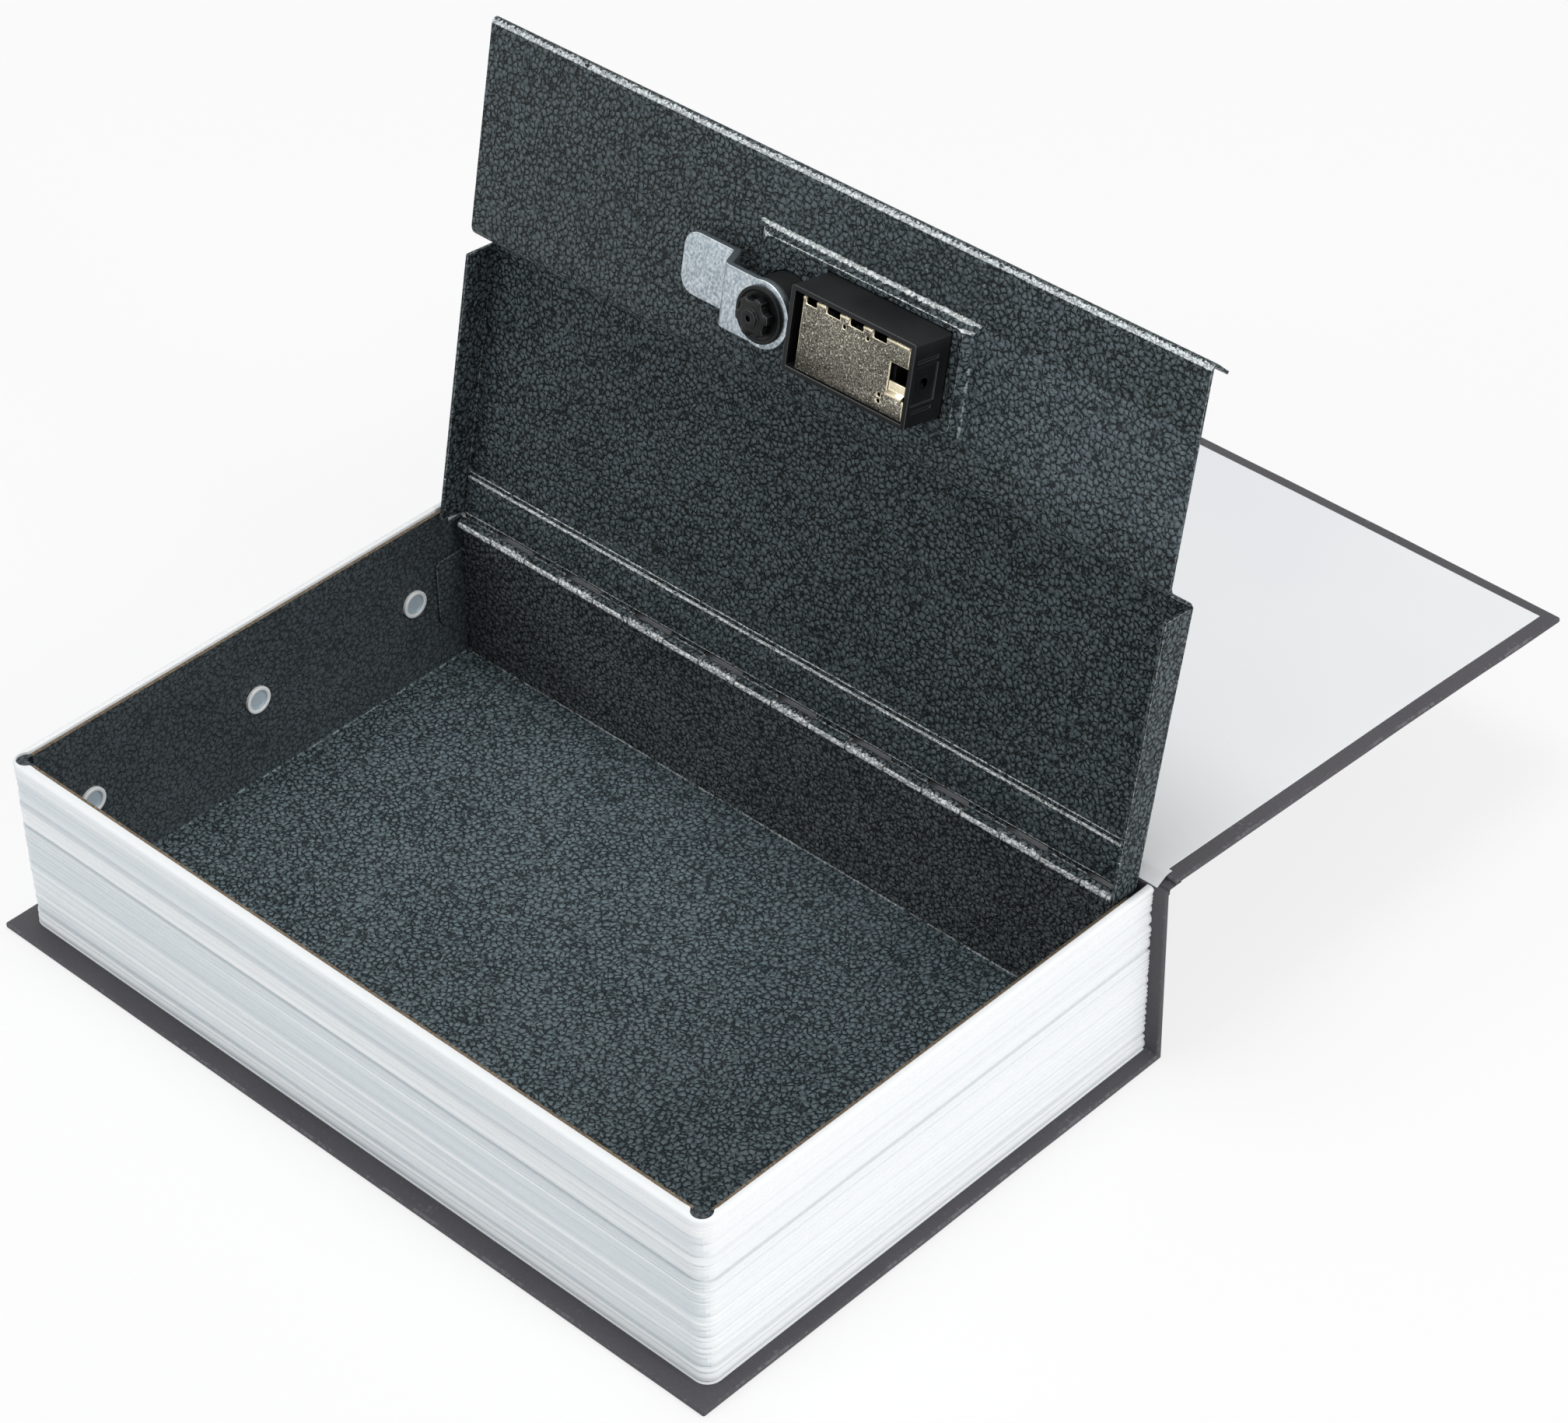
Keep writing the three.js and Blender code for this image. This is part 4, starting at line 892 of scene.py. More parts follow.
    # Painted highlight on the cam's rounded edges.
    ZINC_EDGE = Plating("zinc_edge", "#f4f8fa", "#d9e1e5", 0.2)
    STEEL = Plating("plain_steel", "#9da2a5", "#6f7578", 0.32)
    BRASS = Plating("turned_brass", "#c8ab62", "#94793b", 0.3)
    BARE_EDGE = Plating("bare_sheet_edge", "#8a7a66", "#5d5144", 0.55)

    @property
    def material(self) -> bpy.types.Material:
        """The finish's material, made the first time it is used."""
        made = bpy.data.materials.get(self.value.name)
        return made or self.value.mix()


@dataclass(frozen=True)
class WaveringEdge:
    """Ends and free edge of a wrapped board, which waver inwards by a fraction of a millimetre.

    Args:
        free_y: Where the free edge lies.
        depth: The most that the edges waver.
        layer: Layer of the noise, another one for each board.
        margin: Width of the border that wavers.
    """

    half_length: float
    free_y: float
    depth: float
    wave: float
    layer: float
    margin: float = 1.0

    def move(self, point: Vector) -> Vector:
        """Where a point of the board goes."""
        place = Vector((point.x / self.wave, point.y / self.wave, self.layer))
        inward = self.depth * (0.5 + 0.5 * noise.noise(place))
        if abs(point.x) > self.half_length - self.margin:
            point.x -= math.copysign(inward, point.x)
        if abs(point.y - self.free_y) < self.margin:
            point.y -= math.copysign(inward, self.free_y)
        return point


@dataclass
class BookCase:
    """Back cover and spine: boards wrapped in one sheet of dark paper."""

    half_length: float = 120.0
    fore_y: float = -77.85
    spine_inner: float = 76.25
    spine_outer: float = 77.85
    thickness: float = 1.6
    height: float = 52.1
    fold: float = 0.5
    crease_half: float = 119.9
    crease_root: float = 77.6
    crease_paper: float = 0.18
    crease_path: Path = (
        (77.74, 51.0), (77.74, 51.9), (77.86, 52.25), (78.1, 52.42), (78.35, 52.42),
        (78.6, 52.42), (78.9, 52.41), (79.2, 52.4), (80.2, 52.35), (82.0, 52.24),
    )
    wrinkle_depth: float = 0.12
    wrinkle_length: float = 4.5
    wrinkle_rise: Pair = (77.75, 78.2)
    wrinkle_fall: Pair = (79.6, 80.4)
    lining_half: float = 117.0
    lining_root: float = 76.62
    lining_paper: float = 0.16
    lining_path: Path = ((76.9, 52.2), (79.8, 53.72), (80.6, 53.86), (82.0, 53.82))
    paper_smooth: float = 60.0

    def build(self) -> None:
        """Make the case and the papers that cross to the front cover."""
        self.build_boards()
        self.build_crease()
        self.build_lining()

    def build_boards(self) -> None:
        """Back board and spine board as one wrapped piece."""
        shape = Bench.block(
            "back_case", (-self.half_length, self.fore_y, 0.0),
            (self.half_length, self.spine_outer, self.thickness),
        )
        with Bench.editing(shape):
            Bench.slice((0, self.spine_inner, 0), (0, 1, 0))
            Bench.pick_faces(lambda middle, normal: (
                is_top(middle, normal) and middle.y > self.spine_inner
            ))
            Bench.pull((0, 0, self.height - self.thickness))
            Bench.divide(X, first=-108, pitch=12, count=19)
            Bench.divide(Y, first=-66, pitch=12, count=12)
            Bench.divide(Z, first=8, pitch=8, count=5)
        Bench.soften(shape, self.fold, 3, CORNERS, EDGE)
        edge = WaveringEdge(self.half_length, self.fore_y, depth=0.28, wave=26, layer=3.0)
        Bench.shift(shape, edge.move)
        Bench.deliver(
            shape, BOOK, Part.CASE, (Finish.CASE_PAPER, Finish.RUBBED_PAPER), "cover_paper",
            ("case_paper", "back_board", "spine_board"),
        )

    def build_crease(self) -> None:
        """Paper of the outer fold, between the spine and the front cover.

        The cover turns by more than half a turn, which a blend would follow the short way round,
        through the book.
        """
        shape = Bench.sheet(
            "fold_paper", self.crease_half, self.crease_root, self.crease_path,
            first=-108, pitch=12, count=19,
        )
        Bench.thicken(shape, self.crease_paper)
        Bench.shift(shape, self.wrinkle)
        Bench.deliver(
            shape, BOOK, None, (Finish.RUBBED_PAPER,), "cover_paper", smooth=self.paper_smooth
        )
        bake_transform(shape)

    def wrinkle(self, point: Vector) -> Vector:
        """Light wrinkles across the outer fold."""
        reach = ease(point.y, *self.wrinkle_rise) * (1 - ease(point.y, *self.wrinkle_fall))
        place = Vector((point.x / self.wrinkle_length, point.y, 0.0))
        point.z -= self.wrinkle_depth * reach * (0.5 + 0.5 * noise.noise(place))
        return point

    def build_lining(self) -> None:
        """White endpaper that passes from the front cover down to the page block.

        It too rides on neither part.
        """
        shape = Bench.sheet(
            "hinge_lining", self.lining_half, self.lining_root, self.lining_path,
            first=-104, pitch=13, count=17,
        )
        Bench.thicken(shape, self.lining_paper)
        Bench.deliver(shape, BOOK, None, (Finish.LINING,), "endpaper", smooth=self.paper_smooth)
        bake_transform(shape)


@dataclass
class FrontCover:
    """Front cover: a papered board with its white lining, opened flat behind the lid."""

    half_length: float = 120.0
    start: float = 3.0
    reach: float = 154.9
    half_thickness: float = 0.8
    board_drop: float = 0.14
    fold: float = 0.5
    lining_margin: float = 4.2
    lining_reach: float = 151.2
    lining_thickness: float = 0.3
    lining_edge: float = 0.06
    droop: float = 0.88
    droop_reach: Pair = (95.0, 165.0)
    droop_side: Pair = (30.0, 130.0)

    def build(self) -> None:
        """Make the board and its lining."""
        self.build_board()
        self.build_lining()

    def sag(self, point: Vector) -> Vector:
        """The free corner at the book's head hangs a little lower than the rest."""
        point.z -= self.droop * ease(point.y, *self.droop_reach) * ease(point.x, *self.droop_side)
        return point

    @staticmethod
    def divide(shape: Shape) -> None:
        """Cut a flat shape into squares, so that it can sag."""
        with Bench.editing(shape):
            Bench.divide(X, first=-112, pitch=8, count=29)
            Bench.divide(Y, first=11, pitch=8, count=18)

    def build_board(self) -> None:
        """Board in dark paper, with rubbed edges and the turned-in border inside."""
        shape = Bench.block(
            "front_board_in_paper", (-self.half_length, self.start, -self.half_thickness),
            (self.half_length, self.reach, self.half_thickness - self.board_drop),
        )
        self.divide(shape)
        Bench.soften(shape, self.fold, 3, CORNERS, EDGE)
        edge = WaveringEdge(self.half_length, self.reach, depth=0.3, wave=24, layer=11.0)
        Bench.shift(shape, edge.move)
        Bench.shift(shape, self.sag)
        Bench.deliver(
            shape, COVER, Part.COVER, (Finish.CASE_PAPER, Finish.RUBBED_PAPER), "cover_paper",
            ("front_paper", "front_board"),
        )

    def build_lining(self) -> None:
        """White endpaper pasted inside the board."""
        side = self.half_length - self.lining_margin
        shape = Bench.block(
            "front_lining", (-side, self.start, self.half_thickness - self.lining_thickness),
            (side, self.lining_reach, self.half_thickness),
        )
        self.divide(shape)
        Bench.soften(shape, self.lining_edge, 1, CORNERS)
        Bench.shift(shape, self.sag)
        Bench.deliver(shape, COVER, Part.COVER, (Finish.LINING,), "endpaper", ("front_endpaper",))


@dataclass(frozen=True)
class Rib:
    """One bundle of false pages: its foot, its height, how far it stands back and its groove."""

    foot: float
    height: float
    setback: float
    groove: float
    grey: bool = False

    def holds(self, z: float) -> bool:
        """True for a height within the bundle."""
        return self.foot <= z < self.foot + self.height


@dataclass
class PageBlock:
    """White moulded frame whose outside looks like a stack of pages."""

    half_length: float = 116.5
    fore_y: float = -72.75
    rear_y: float = 76.25
    floor: float = 1.6
    top: float = 52.1
    inner_x: float = 114.5
    inner_fore: float = -69.95
    inner_rear: float = 74.85
    ledge_top: float = 2.6
    ledge_width: float = 8.0
    rear_wall_top: float = 46.0
    corner: float = 4.5
    corner_facets: int = 6
    rim: float = 2.3
    rim_round: float = 0.9
    rim_shares: tuple[float, ...] = (0.7, 0.4, 0.2, 0.08)
    inner_edge: float = 0.3
    taper: float = 0.55
    seed: int = 11
    top_heights: tuple[float, ...] = (1.0, 0.9, 1.3)
    top_setback: Pair = (0.1, 0.25)
    top_groove: float = 0.24
    rib_heights: tuple[float, ...] = (0.9, 1.2, 1.7, 2.6, 3.8)
    rib_spread: Pair = (0.85, 1.15)
    rib_setback: Pair = (0.0, 0.4)
    rib_least: float = 1.0
    rib_shares: tuple[float, ...] = (0.0, 0.08, 0.2, 0.36, 0.64, 0.8, 0.92)
    grey_share: float = 0.3
    groove_least: float = 0.08
    groove_gain: float = 0.22
    groove_most: float = 0.85
    groove_power: float = 2.4
    wander: float = 0.22
    notch: float = 2.6
    notch_in_x: float = 1.7
    notch_in_y: float = 0.9
    notch_foot: float = 49.0
    notch_edge: float = 0.9
    shadow_drop: float = 3.3

    def ribs(self) -> list[Rib]:
        """Bundles of pages from the foot to the rim, of uneven height and depth."""
        draw = random.Random(self.seed)
        ribs = []
        top = self.top - self.rim
        for height in self.top_heights:
            top -= height
            ribs.append(Rib(top, height, draw.uniform(*self.top_setback), self.top_groove))
        while top > self.floor + TOUCH:
            height = draw.choice(self.rib_heights) * draw.uniform(*self.rib_spread)
            if top - height < self.floor + self.rib_least:
                height = top - self.floor
            top -= height
            setback, grey = draw.uniform(*self.rib_setback), draw.random() < self.grey_share
            groove = min(self.groove_gain * height + self.groove_least, self.groove_most)
            ribs.append(Rib(top, height, setback, groove, grey))
        return ribs

    def setback(self, z: float, along: float) -> float:
        """How far the outside stands back.

        Args:
            z: Height on the block.
            along: Place along its outline.

        Returns:
            The distance in millimetres.
        """
        lean = self.taper * (1 - (z - self.floor) / (self.top - self.floor))
        rise = z - (self.top - self.rim_round)
        if rise > 0:
            return lean + self.rim_round - math.sqrt(max(self.rim_round**2 - rise**2, 0.0))
        for rib in self.bundles:
            if rib.holds(z):
                share = (z - rib.foot) / rib.height
                wave = 0.7 + 0.5 * noise.noise(Vector((along / 38, rib.foot, 5.0)))
                hollow = rib.groove * abs(2 * share - 1) ** self.groove_power
                return lean + rib.setback * wave + hollow
        return lean

    def levels(self) -> list[float]:
        """Heights at which the outside is cut, so that it can take the bundles' form."""
        levels = [
            rib.foot + rib.height * share for rib in self.bundles for share in self.rib_shares
        ]
        levels += [self.top - self.rim, self.top - self.rim_round]
        levels += [self.top - self.rim_round * share for share in self.rim_shares]
        return [z for z in levels if z > self.floor + TOUCH]

    def build(self) -> None:
        """Make the frame with its ribs, its notched corners and its finishes."""
        self.bundles = self.ribs()
        shape = Bench.block(
            "page_block", (-self.half_length, self.fore_y, self.floor),
            (self.half_length, self.rear_y, self.top),
        )
        with Bench.editing(shape, "EDGE"):
            Bench.pick_edges(lambda a, b: rises(1)(a, b) and a.y < 0 and b.y < 0)
            Bench.round(self.corner, self.corner_facets)
            Bench.slices(Z, self.levels())
            Bench.divide(X, first=-108, pitch=8, count=28)
            Bench.divide(Y, first=-64, pitch=8, count=18)
        Bench.shift(shape, self.press)
        Bench.carve(shape, *self.hollows())
        with Bench.editing(shape, "EDGE"):
            Bench.pick_edges(self.beside_notch)
            Bench.round(self.notch_edge, 4)
            Bench.pick_edges(self.on_inner_rim)
            Bench.round(self.inner_edge, 2)
        self.colour_ribs(shape)
        Bench.deliver(
            shape, BOOK, Part.CASE,
            (
                Finish.PAGES, Finish.PAGE_RIM, Finish.PAGES_DEEP, Finish.PAGES_HALF,
                Finish.PAGES_FAINT, Finish.PAGES_FRONT,
            ),
            "page_plastic", ("page_frame",), TURNED,
        )

    def hollows(self) -> list[Shape]:
        """Room for the box, the hole in the floor, the gap for the hinge and the two notches."""
        x, fore, rear = self.inner_x, self.inner_fore, self.inner_rear
        ledge, under, above = self.ledge_width, self.floor - 1, self.top + 5
        tools = [
            Bench.block("hollow", (-x, fore, self.ledge_top), (x, rear, above)),
            Bench.block(
                "hole", (ledge - x, fore + ledge, under),
                (x - ledge, rear - ledge, self.ledge_top + 1),
            ),
            Bench.block("gap", (-x, rear - 1, self.rear_wall_top), (x, self.rear_y + 1, above)),
        ]
        notch = (self.notch, self.notch_foot, 60.0)
        for side in (-1, 1):
            place = (side * (x - self.notch_in_x), fore + self.notch_in_y)
            tools.append(Bench.post("notch", place, notch, 40))
        return tools

    def colour_ribs(self, shape: Shape) -> None:
        """Number the finishes of the rim, the painted shade on the grooves' downward flanks, the
        grey bundles and the front.
        """
        rim, front_groove_shade, grey, side_groove_shade, front = range(1, 6)
        rim_z = self.top - self.rim
        shadow_z = rim_z - self.shadow_drop

        # Downward flanks below the rim take painted shade.
        def is_groove(middle: Vector, normal: Vector) -> bool:
            """True on the flank of a groove, which looks down."""
            return normal.z < -0.34 and middle.z < shadow_z

        Bench.dye(shape, front, self.is_front)
        Bench.dye(shape, grey, self.is_grey)
        Bench.dye(shape, front_groove_shade, lambda middle, normal: (
            is_groove(middle, normal) and self.is_front(middle, normal)
        ))
        Bench.dye(shape, side_groove_shade, lambda middle, normal: (
            is_groove(middle, normal) and abs(normal.x) > SIDEWAYS
        ))
        Bench.dye(shape, rim, lambda middle, normal: middle.z > rim_z)
        Bench.dye(shape, rim, lambda middle, normal: self.inside(middle) and abs(normal.z) < 0.5)

    def is_front(self, middle: Vector, normal: Vector) -> bool:
        """True on the long front of the block."""
        return normal.y < -SIDEWAYS

    def is_grey(self, middle: Vector, normal: Vector) -> bool:
        """True on the front of a bundle whose paper is greyer."""
        return self.is_front(middle, normal) and any(
            rib.grey and rib.holds(middle.z) for rib in self.bundles
        )

    def inside(self, point: Vector) -> bool:
        """True on the walls of the hollow."""
        slack = 0.3
        across = abs(point.x) < self.inner_x + slack
        return across and self.inner_fore - slack < point.y < self.inner_rear + slack

    def on_inner_rim(self, a: Vector, b: Vector) -> bool:
        """True for the edges where the hollow meets the rim, away from the notches."""
        for point in (a, b):
            beside = abs(abs(point.x) - self.inner_x) < NEARLY and point.y > self.inner_fore + 3.5
            before = abs(point.y - self.inner_fore) < NEARLY and abs(point.x) < self.inner_x - 4.8
            if point.z < self.top - NEARLY or not (beside or before):
                return False
        return True

    def press(self, point: Vector) -> Vector:
        """Push a point of the outside in, as its bundle of pages has it."""
        if point.y > self.rear_y - 0.5 and abs(point.x) < self.half_length - 0.5:
            return point
        side = self.half_length - self.corner
        heart = Vector((
            min(max(point.x, -side), side), max(point.y, self.fore_y + self.corner), point.z
        ))
        out = point - heart
        if out.length < self.corner - 0.1:
            return point
        out.normalize()
        along = point.x - point.y
        wave = self.wander * noise.noise(Vector((along / 30, point.z / 9, 2.0)))
        depth = self.setback(point.z, along)
        inner = self.floor + 0.5 < point.z < self.top - self.rim - 0.2
        return point - out * depth + Vector((0, 0, wave if inner else 0.0))

    def beside_notch(self, a: Vector, b: Vector) -> bool:
        """True for the upright edges where a notch meets the straight walls of the hollow."""
        if abs(a.z - b.z) < 0.5:
            return False
        front_x = self.inner_x - self.notch_in_x - math.sqrt(self.notch**2 - self.notch_in_y**2)
        side_y = self.inner_fore + self.notch_in_y + math.sqrt(self.notch**2 - self.notch_in_x**2)
        for point in (a, b):
            x, y = abs(point.x), point.y
            front = abs(x - front_x) < 0.15 and abs(y - self.inner_fore) < NEARLY
            side = abs(y - side_y) < 0.15 and abs(x - self.inner_x) < NEARLY
            if not (front or side):
                return False
        return True


@dataclass
class SteelBox:
    """Folded steel box: tray, rear panel with its tabs and knuckles, and the white push rivets."""

    outer_x: float = 114.2
    inner_x: float = 113.4
    fore_outer: float = -69.65
    fore_inner: float = -68.85
    rear_outer: float = 74.75
    floor_under: float = 2.6
    floor: float = 3.4
    rim: float = 51.4
    sheet: float = 0.8
    floor_fold: float = 0.7
    wall_fold: float = 0.6
    above: Box = ((-113.4, 73.9, 13.4), (113.4, 76.0, 60.0))
    hinge_room: Box = ((-120.0, 69.85, 46.4), (120.0, 76.0, 60.0))
    window: Box = ((-16.0, -72.0, 32.1), (4.0, -68.2, 38.1))
    corner_place: Pair = (112.8, -69.05)
    corner_radius: float = 2.45
    ledge: Box = ((-16, -68.95, 38.1), (4, -62.45, 38.9))
    ledge_corner: float = 1.5
    hinge_y: float = 72.25
    hinge_z: float = 46.6
    hinge_half: float = 111.15
    knuckles: int = 18
    knuckle_gap: float = 0.55
    roll: float = 1.2
    panel_half: float = 113.3
    panel_body_half: float = 111.4
    panel_top: float = 44.6
    panel_foot_line: float = 0.95
    tab_low: float = 9.0
    tab_high: float = 37.0
    tab_front: float = 63.85
    tab_back: float = 73.2
    tab_inner: float = 112.5
    tab_slant: float = 9.0
    tab_corner: float = 1.6
    rivet_z: float = 28.5
    rivet_radius: float = 3.8
    rivet_head: float = 1.1
    rivet_stem: float = 1.75
    rivet_dish: float = 2.75
    side_rivets: tuple[float, ...] = (-51.65, 2.1, 55.85)
    front_rivets: tuple[float, ...] = (-80.25, -26.75, 26.75, 80.25)

    def build(self) -> None:
        """Make all parts of the box."""
        self.build_tray()
        self.build_ledge()
        self.build_panel()
        self.build_tabs()
        self.build_rivets()

    def build_tray(self) -> None:
        """Floor, walls, rear upstand and the dark corners in the page block's notches."""
        shape = Bench.block(
            "steel_walls", (-self.outer_x, self.fore_outer, self.floor_under),
            (self.outer_x, self.rear_outer, self.rim),
        )
        with Bench.editing(shape):
            Bench.pick_faces(is_top)
            Bench.inset(self.sheet)
            Bench.pull((0, 0, self.floor - self.rim))
            # The rounded fold round the floor takes the painted highlight line.
            Bench.pick_edges(lambda a, b: self.is_floor_fold(a) and self.is_floor_fold(b))
            Bench.round(self.floor_fold, 3, EDGE)
            Bench.pick_edges(self.is_inner_corner)
            Bench.round(self.wall_fold, 3)
        Bench.carve(
            shape, Bench.block("above", *self.above), Bench.block("hinge_room", *self.hinge_room),
            Bench.block("window", *self.window),
        )
        bare_rim, floor = 2, 3
        Bench.dye(shape, bare_rim, lambda middle, normal: (
            middle.z > self.rim - 0.05 and is_top(middle, normal)
        ))
        # The floor takes the lighter copy of the coat: painted light.
        Bench.dye(shape, floor, lambda middle, normal: (
            middle.z < self.floor + 0.05 and is_top(middle, normal)
        ))
        Bench.gather(shape, *(self.make_corner(side) for side in (-1, 1)))
        # The walls and corners take the darker copy of the coat, a painted shade.
        Bench.deliver(
            shape, BOOK, Part.CASE,
            (Finish.WALL_PAINT, Finish.FLOOR_FOLD, Finish.BARE_EDGE, Finish.FLOOR_PAINT),
            "painted_steel",
            ("steel_tray", "tray_upstand", "tray_wall_front", "tray_wall_left", "tray_wall_right"),
        )

    def make_corner(self, side: int) -> Shape:
        """Dark rounded corner of the box that shows in a notch of the page block.

        Args:
            side: -1 for the left corner and 1 for the right one.

        Returns:
            The corner.
        """
        place = (side * self.corner_place[0], self.corner_place[1])
        corner = Bench.post("corner", place, (self.corner_radius, 49.1, self.rim + 0.15), 40)
        room = Bench.block("room", (-self.inner_x, self.fore_inner, 40), (self.inner_x, 0, 60))
        Bench.carve(corner, room)
        Bench.soften(corner, 0.2, 2, CORNERS)
        return corner

    def build_ledge(self) -> None:
        """Tongue folded in from the front wall, which the cam catches under."""
        shape = Bench.block("cam_ledge", *self.ledge)
        free_y = self.ledge[1][1] - 0.55
        with Bench.editing(shape):
            Bench.pick_edges(lambda a, b: min(a.y, b.y) > free_y and rises(0.1)(a, b))
            Bench.round(self.ledge_corner, 4)
        Bench.soften(shape, 0.15, 2, CORNERS, EDGE)
        Bench.deliver(
            shape, BOOK, Part.CASE, (Finish.PAINT, Finish.SCUFFED), "painted_steel",
            ("latch_ledge",),
        )

    def is_floor_fold(self, point: Vector) -> bool:
        """True round the inside of the floor."""
        return abs(point.z - self.floor) < TOUCH

    def is_inner_corner(self, a: Vector, b: Vector) -> bool:
        """True for the upright folds inside the box."""
        return rises(10)(a, b) and all(
            abs(abs(point.x) - self.inner_x) < TOUCH and point.y < 0 for point in (a, b)
        )

    def knuckle_span(self, number: int) -> Pair:
        """Start and end of a knuckle along the hinge."""
        pitch = 2 * self.hinge_half / self.knuckles
        start = -self.hinge_half + number * pitch
        return start + self.knuckle_gap / 2, start + pitch - self.knuckle_gap / 2

    def build_panel(self) -> None:
        """Rear panel: one sheet whose top edge is rolled forwards into nine knuckles."""
        half, body, top = self.panel_half, self.panel_body_half, self.panel_top
        shape = Bench.strip("rear_panel", -half, half, self.floor, top, 0.0)
        upright = Matrix.Rotation(math.radians(90), 4, "X")
        Bench.turn(shape, Matrix.Translation((0, self.hinge_y + self.roll, 0)) @ upright)
        spans = [self.knuckle_span(number) for number in range(1, self.knuckles, 2)]
        foot_cut = 4.3
        with Bench.editing(shape, "EDGE"):
            Bench.slices(X, [-body, body, *(end for span in spans for end in span)])
            Bench.slices(Z, [foot_cut, self.tab_low, self.tab_high])
            Bench.pick_faces(lambda middle, normal: (
                abs(middle.x) > body and not self.tab_low < middle.z < self.tab_high
            ))
            bpy.ops.mesh.delete(type="FACE")
            Bench.pick_edges(lambda a, b: min(a.z, b.z) > top - 0.1 and self.in_spans(a, b, spans))
            Bench.pull((0, 0, self.hinge_z - top))
        self.roll_edge(shape, (0, self.hinge_y, self.hinge_z), (1, 0, 0))
        Bench.soften(shape, 0.13, 2, CORNERS, EDGE)
        # The front of the knuckles takes the painted highlight finish.
        knuckle, foot = 2, 3
        Bench.dye(shape, knuckle, lambda middle, normal: (
            middle.z > top and middle.y < self.hinge_y
        ))
        Bench.dye(shape, foot, lambda middle, normal: (
            middle.z < self.floor + self.panel_foot_line and normal.y < -0.1
        ))
        Bench.deliver(
            shape, BOOK, Part.CASE,
            (Finish.REAR_PAINT, Finish.SCUFFED, Finish.KNUCKLE, Finish.REAR_FOOT),
            "painted_steel", ("rear_wall",),
        )

    @staticmethod
    def in_spans(a: Vector, b: Vector, spans: Sequence[Pair]) -> bool:
        """True for an edge along the hinge that lies in one of the knuckles' spans."""
        middle = (a.x + b.x) / 2
        return abs(a.x - b.x) > 0.1 and any(low < middle < high for low, high in spans)

    def roll_edge(self, shape: Shape, centre: Point, axis: Point) -> None:
        """Roll the selected edges of a sheet round the pin, then give the sheet its thickness.

        Args:
            shape: The sheet.
            centre: A point on the pin's axis.
            axis: The pin's direction, which says which way the edge rolls.
        """
        with Bench.reopening(shape):
            bpy.ops.mesh.spin(steps=14, angle=math.radians(300), center=centre, axis=axis)
            bpy.ops.mesh.select_all(action="SELECT")
            bpy.ops.mesh.remove_doubles(threshold=0.001)
            bpy.ops.mesh.normals_make_consistent(inside=False)
        Bench.thicken(shape, self.sheet, even=False)

    def build_tabs(self) -> None:
        """Tabs that turn the rear panel's ends along the side walls."""
        front = self.tab_front + 0.15
        for side, name in ((-1, "left"), (1, "right")):
            low, high = sorted((side * self.tab_inner, side * self.panel_half))
            shape = Bench.block(
                f"corner_tab_{name}", (low, self.tab_front, self.tab_low),
                (high, self.tab_back, self.tab_high),
            )
            with Bench.editing(shape):
                Bench.pick_points(lambda point: point.y < front and point.z < self.tab_low + 1)
                bpy.ops.transform.translate(value=(0, 0, self.tab_slant))
                Bench.pick_edges(lambda a, b: max(a.y, b.y) < front and abs(a.x - b.x) > 0.1)
                Bench.round(self.tab_corner, 4)
            Bench.soften(shape, 0.2, 2, TURNED, EDGE)
            # The tabs take the walls' darker copy of the coat, a painted shade.
            Bench.deliver(
                shape, BOOK, Part.CASE, (Finish.WALL_PAINT, Finish.EDGE_LINE), "painted_steel",
                (f"rear_tab_{name}",),
            )

    def make_rivet(self) -> Shape:
        """White push rivet with a dished head, upright at the origin."""
        rivet = Bench.rod("rivet", self.rivet_radius, (0, 0, 0), (0, 0, self.rivet_head), 40)
        with Bench.editing(rivet):
            Bench.pick_faces(is_top)
            Bench.inset(0.9)
            Bench.inset(0.5, -0.7)
            Bench.inset(1.0)
            Bench.pick_faces(is_underside)
            Bench.inset(1.9)
            Bench.pull((0, 0, -self.rivet_stem))
        Bench.soften(rivet, 0.22, 3, TURNED)
        # The dish takes the darker nylon: painted shade.
        Bench.dye(rivet, 1, lambda middle, normal: (
            middle.xy.length < self.rivet_dish and middle.z > 0
        ))
        return rivet

    def build_rivets(self) -> None:
        """White push rivets: one is turned and the rest are copies."""
        master = self.make_rivet()
        sides = list(enumerate(self.side_rivets, 1))
        places = [(f"left_{i}", -self.inner_x, y, -90) for i, y in sides]
        places += [(f"right_{i}", self.inner_x, y, 90) for i, y in sides]
        places += [
            (f"front_{i}", x, self.fore_inner, 0) for i, x in enumerate(self.front_rivets, 1)
        ]
        lay = Matrix.Rotation(math.radians(-90), 4, "X")
        for name, x, y, swing in places:
            rivet = Bench.copy(master, f"push_rivet_{name}")
            spin = Matrix.Rotation(math.radians(swing), 4, "Z")
            Bench.turn(rivet, Matrix.Translation((x, y, self.rivet_z)) @ spin @ lay)
            Bench.deliver(
                rivet, BOOK, Part.CASE, (Finish.NYLON, Finish.NYLON_DISH), "rivet_plastic",
                (f"wall_rivet_{name}",),
            )
        bpy.data.objects.remove(master, do_unlink=True)


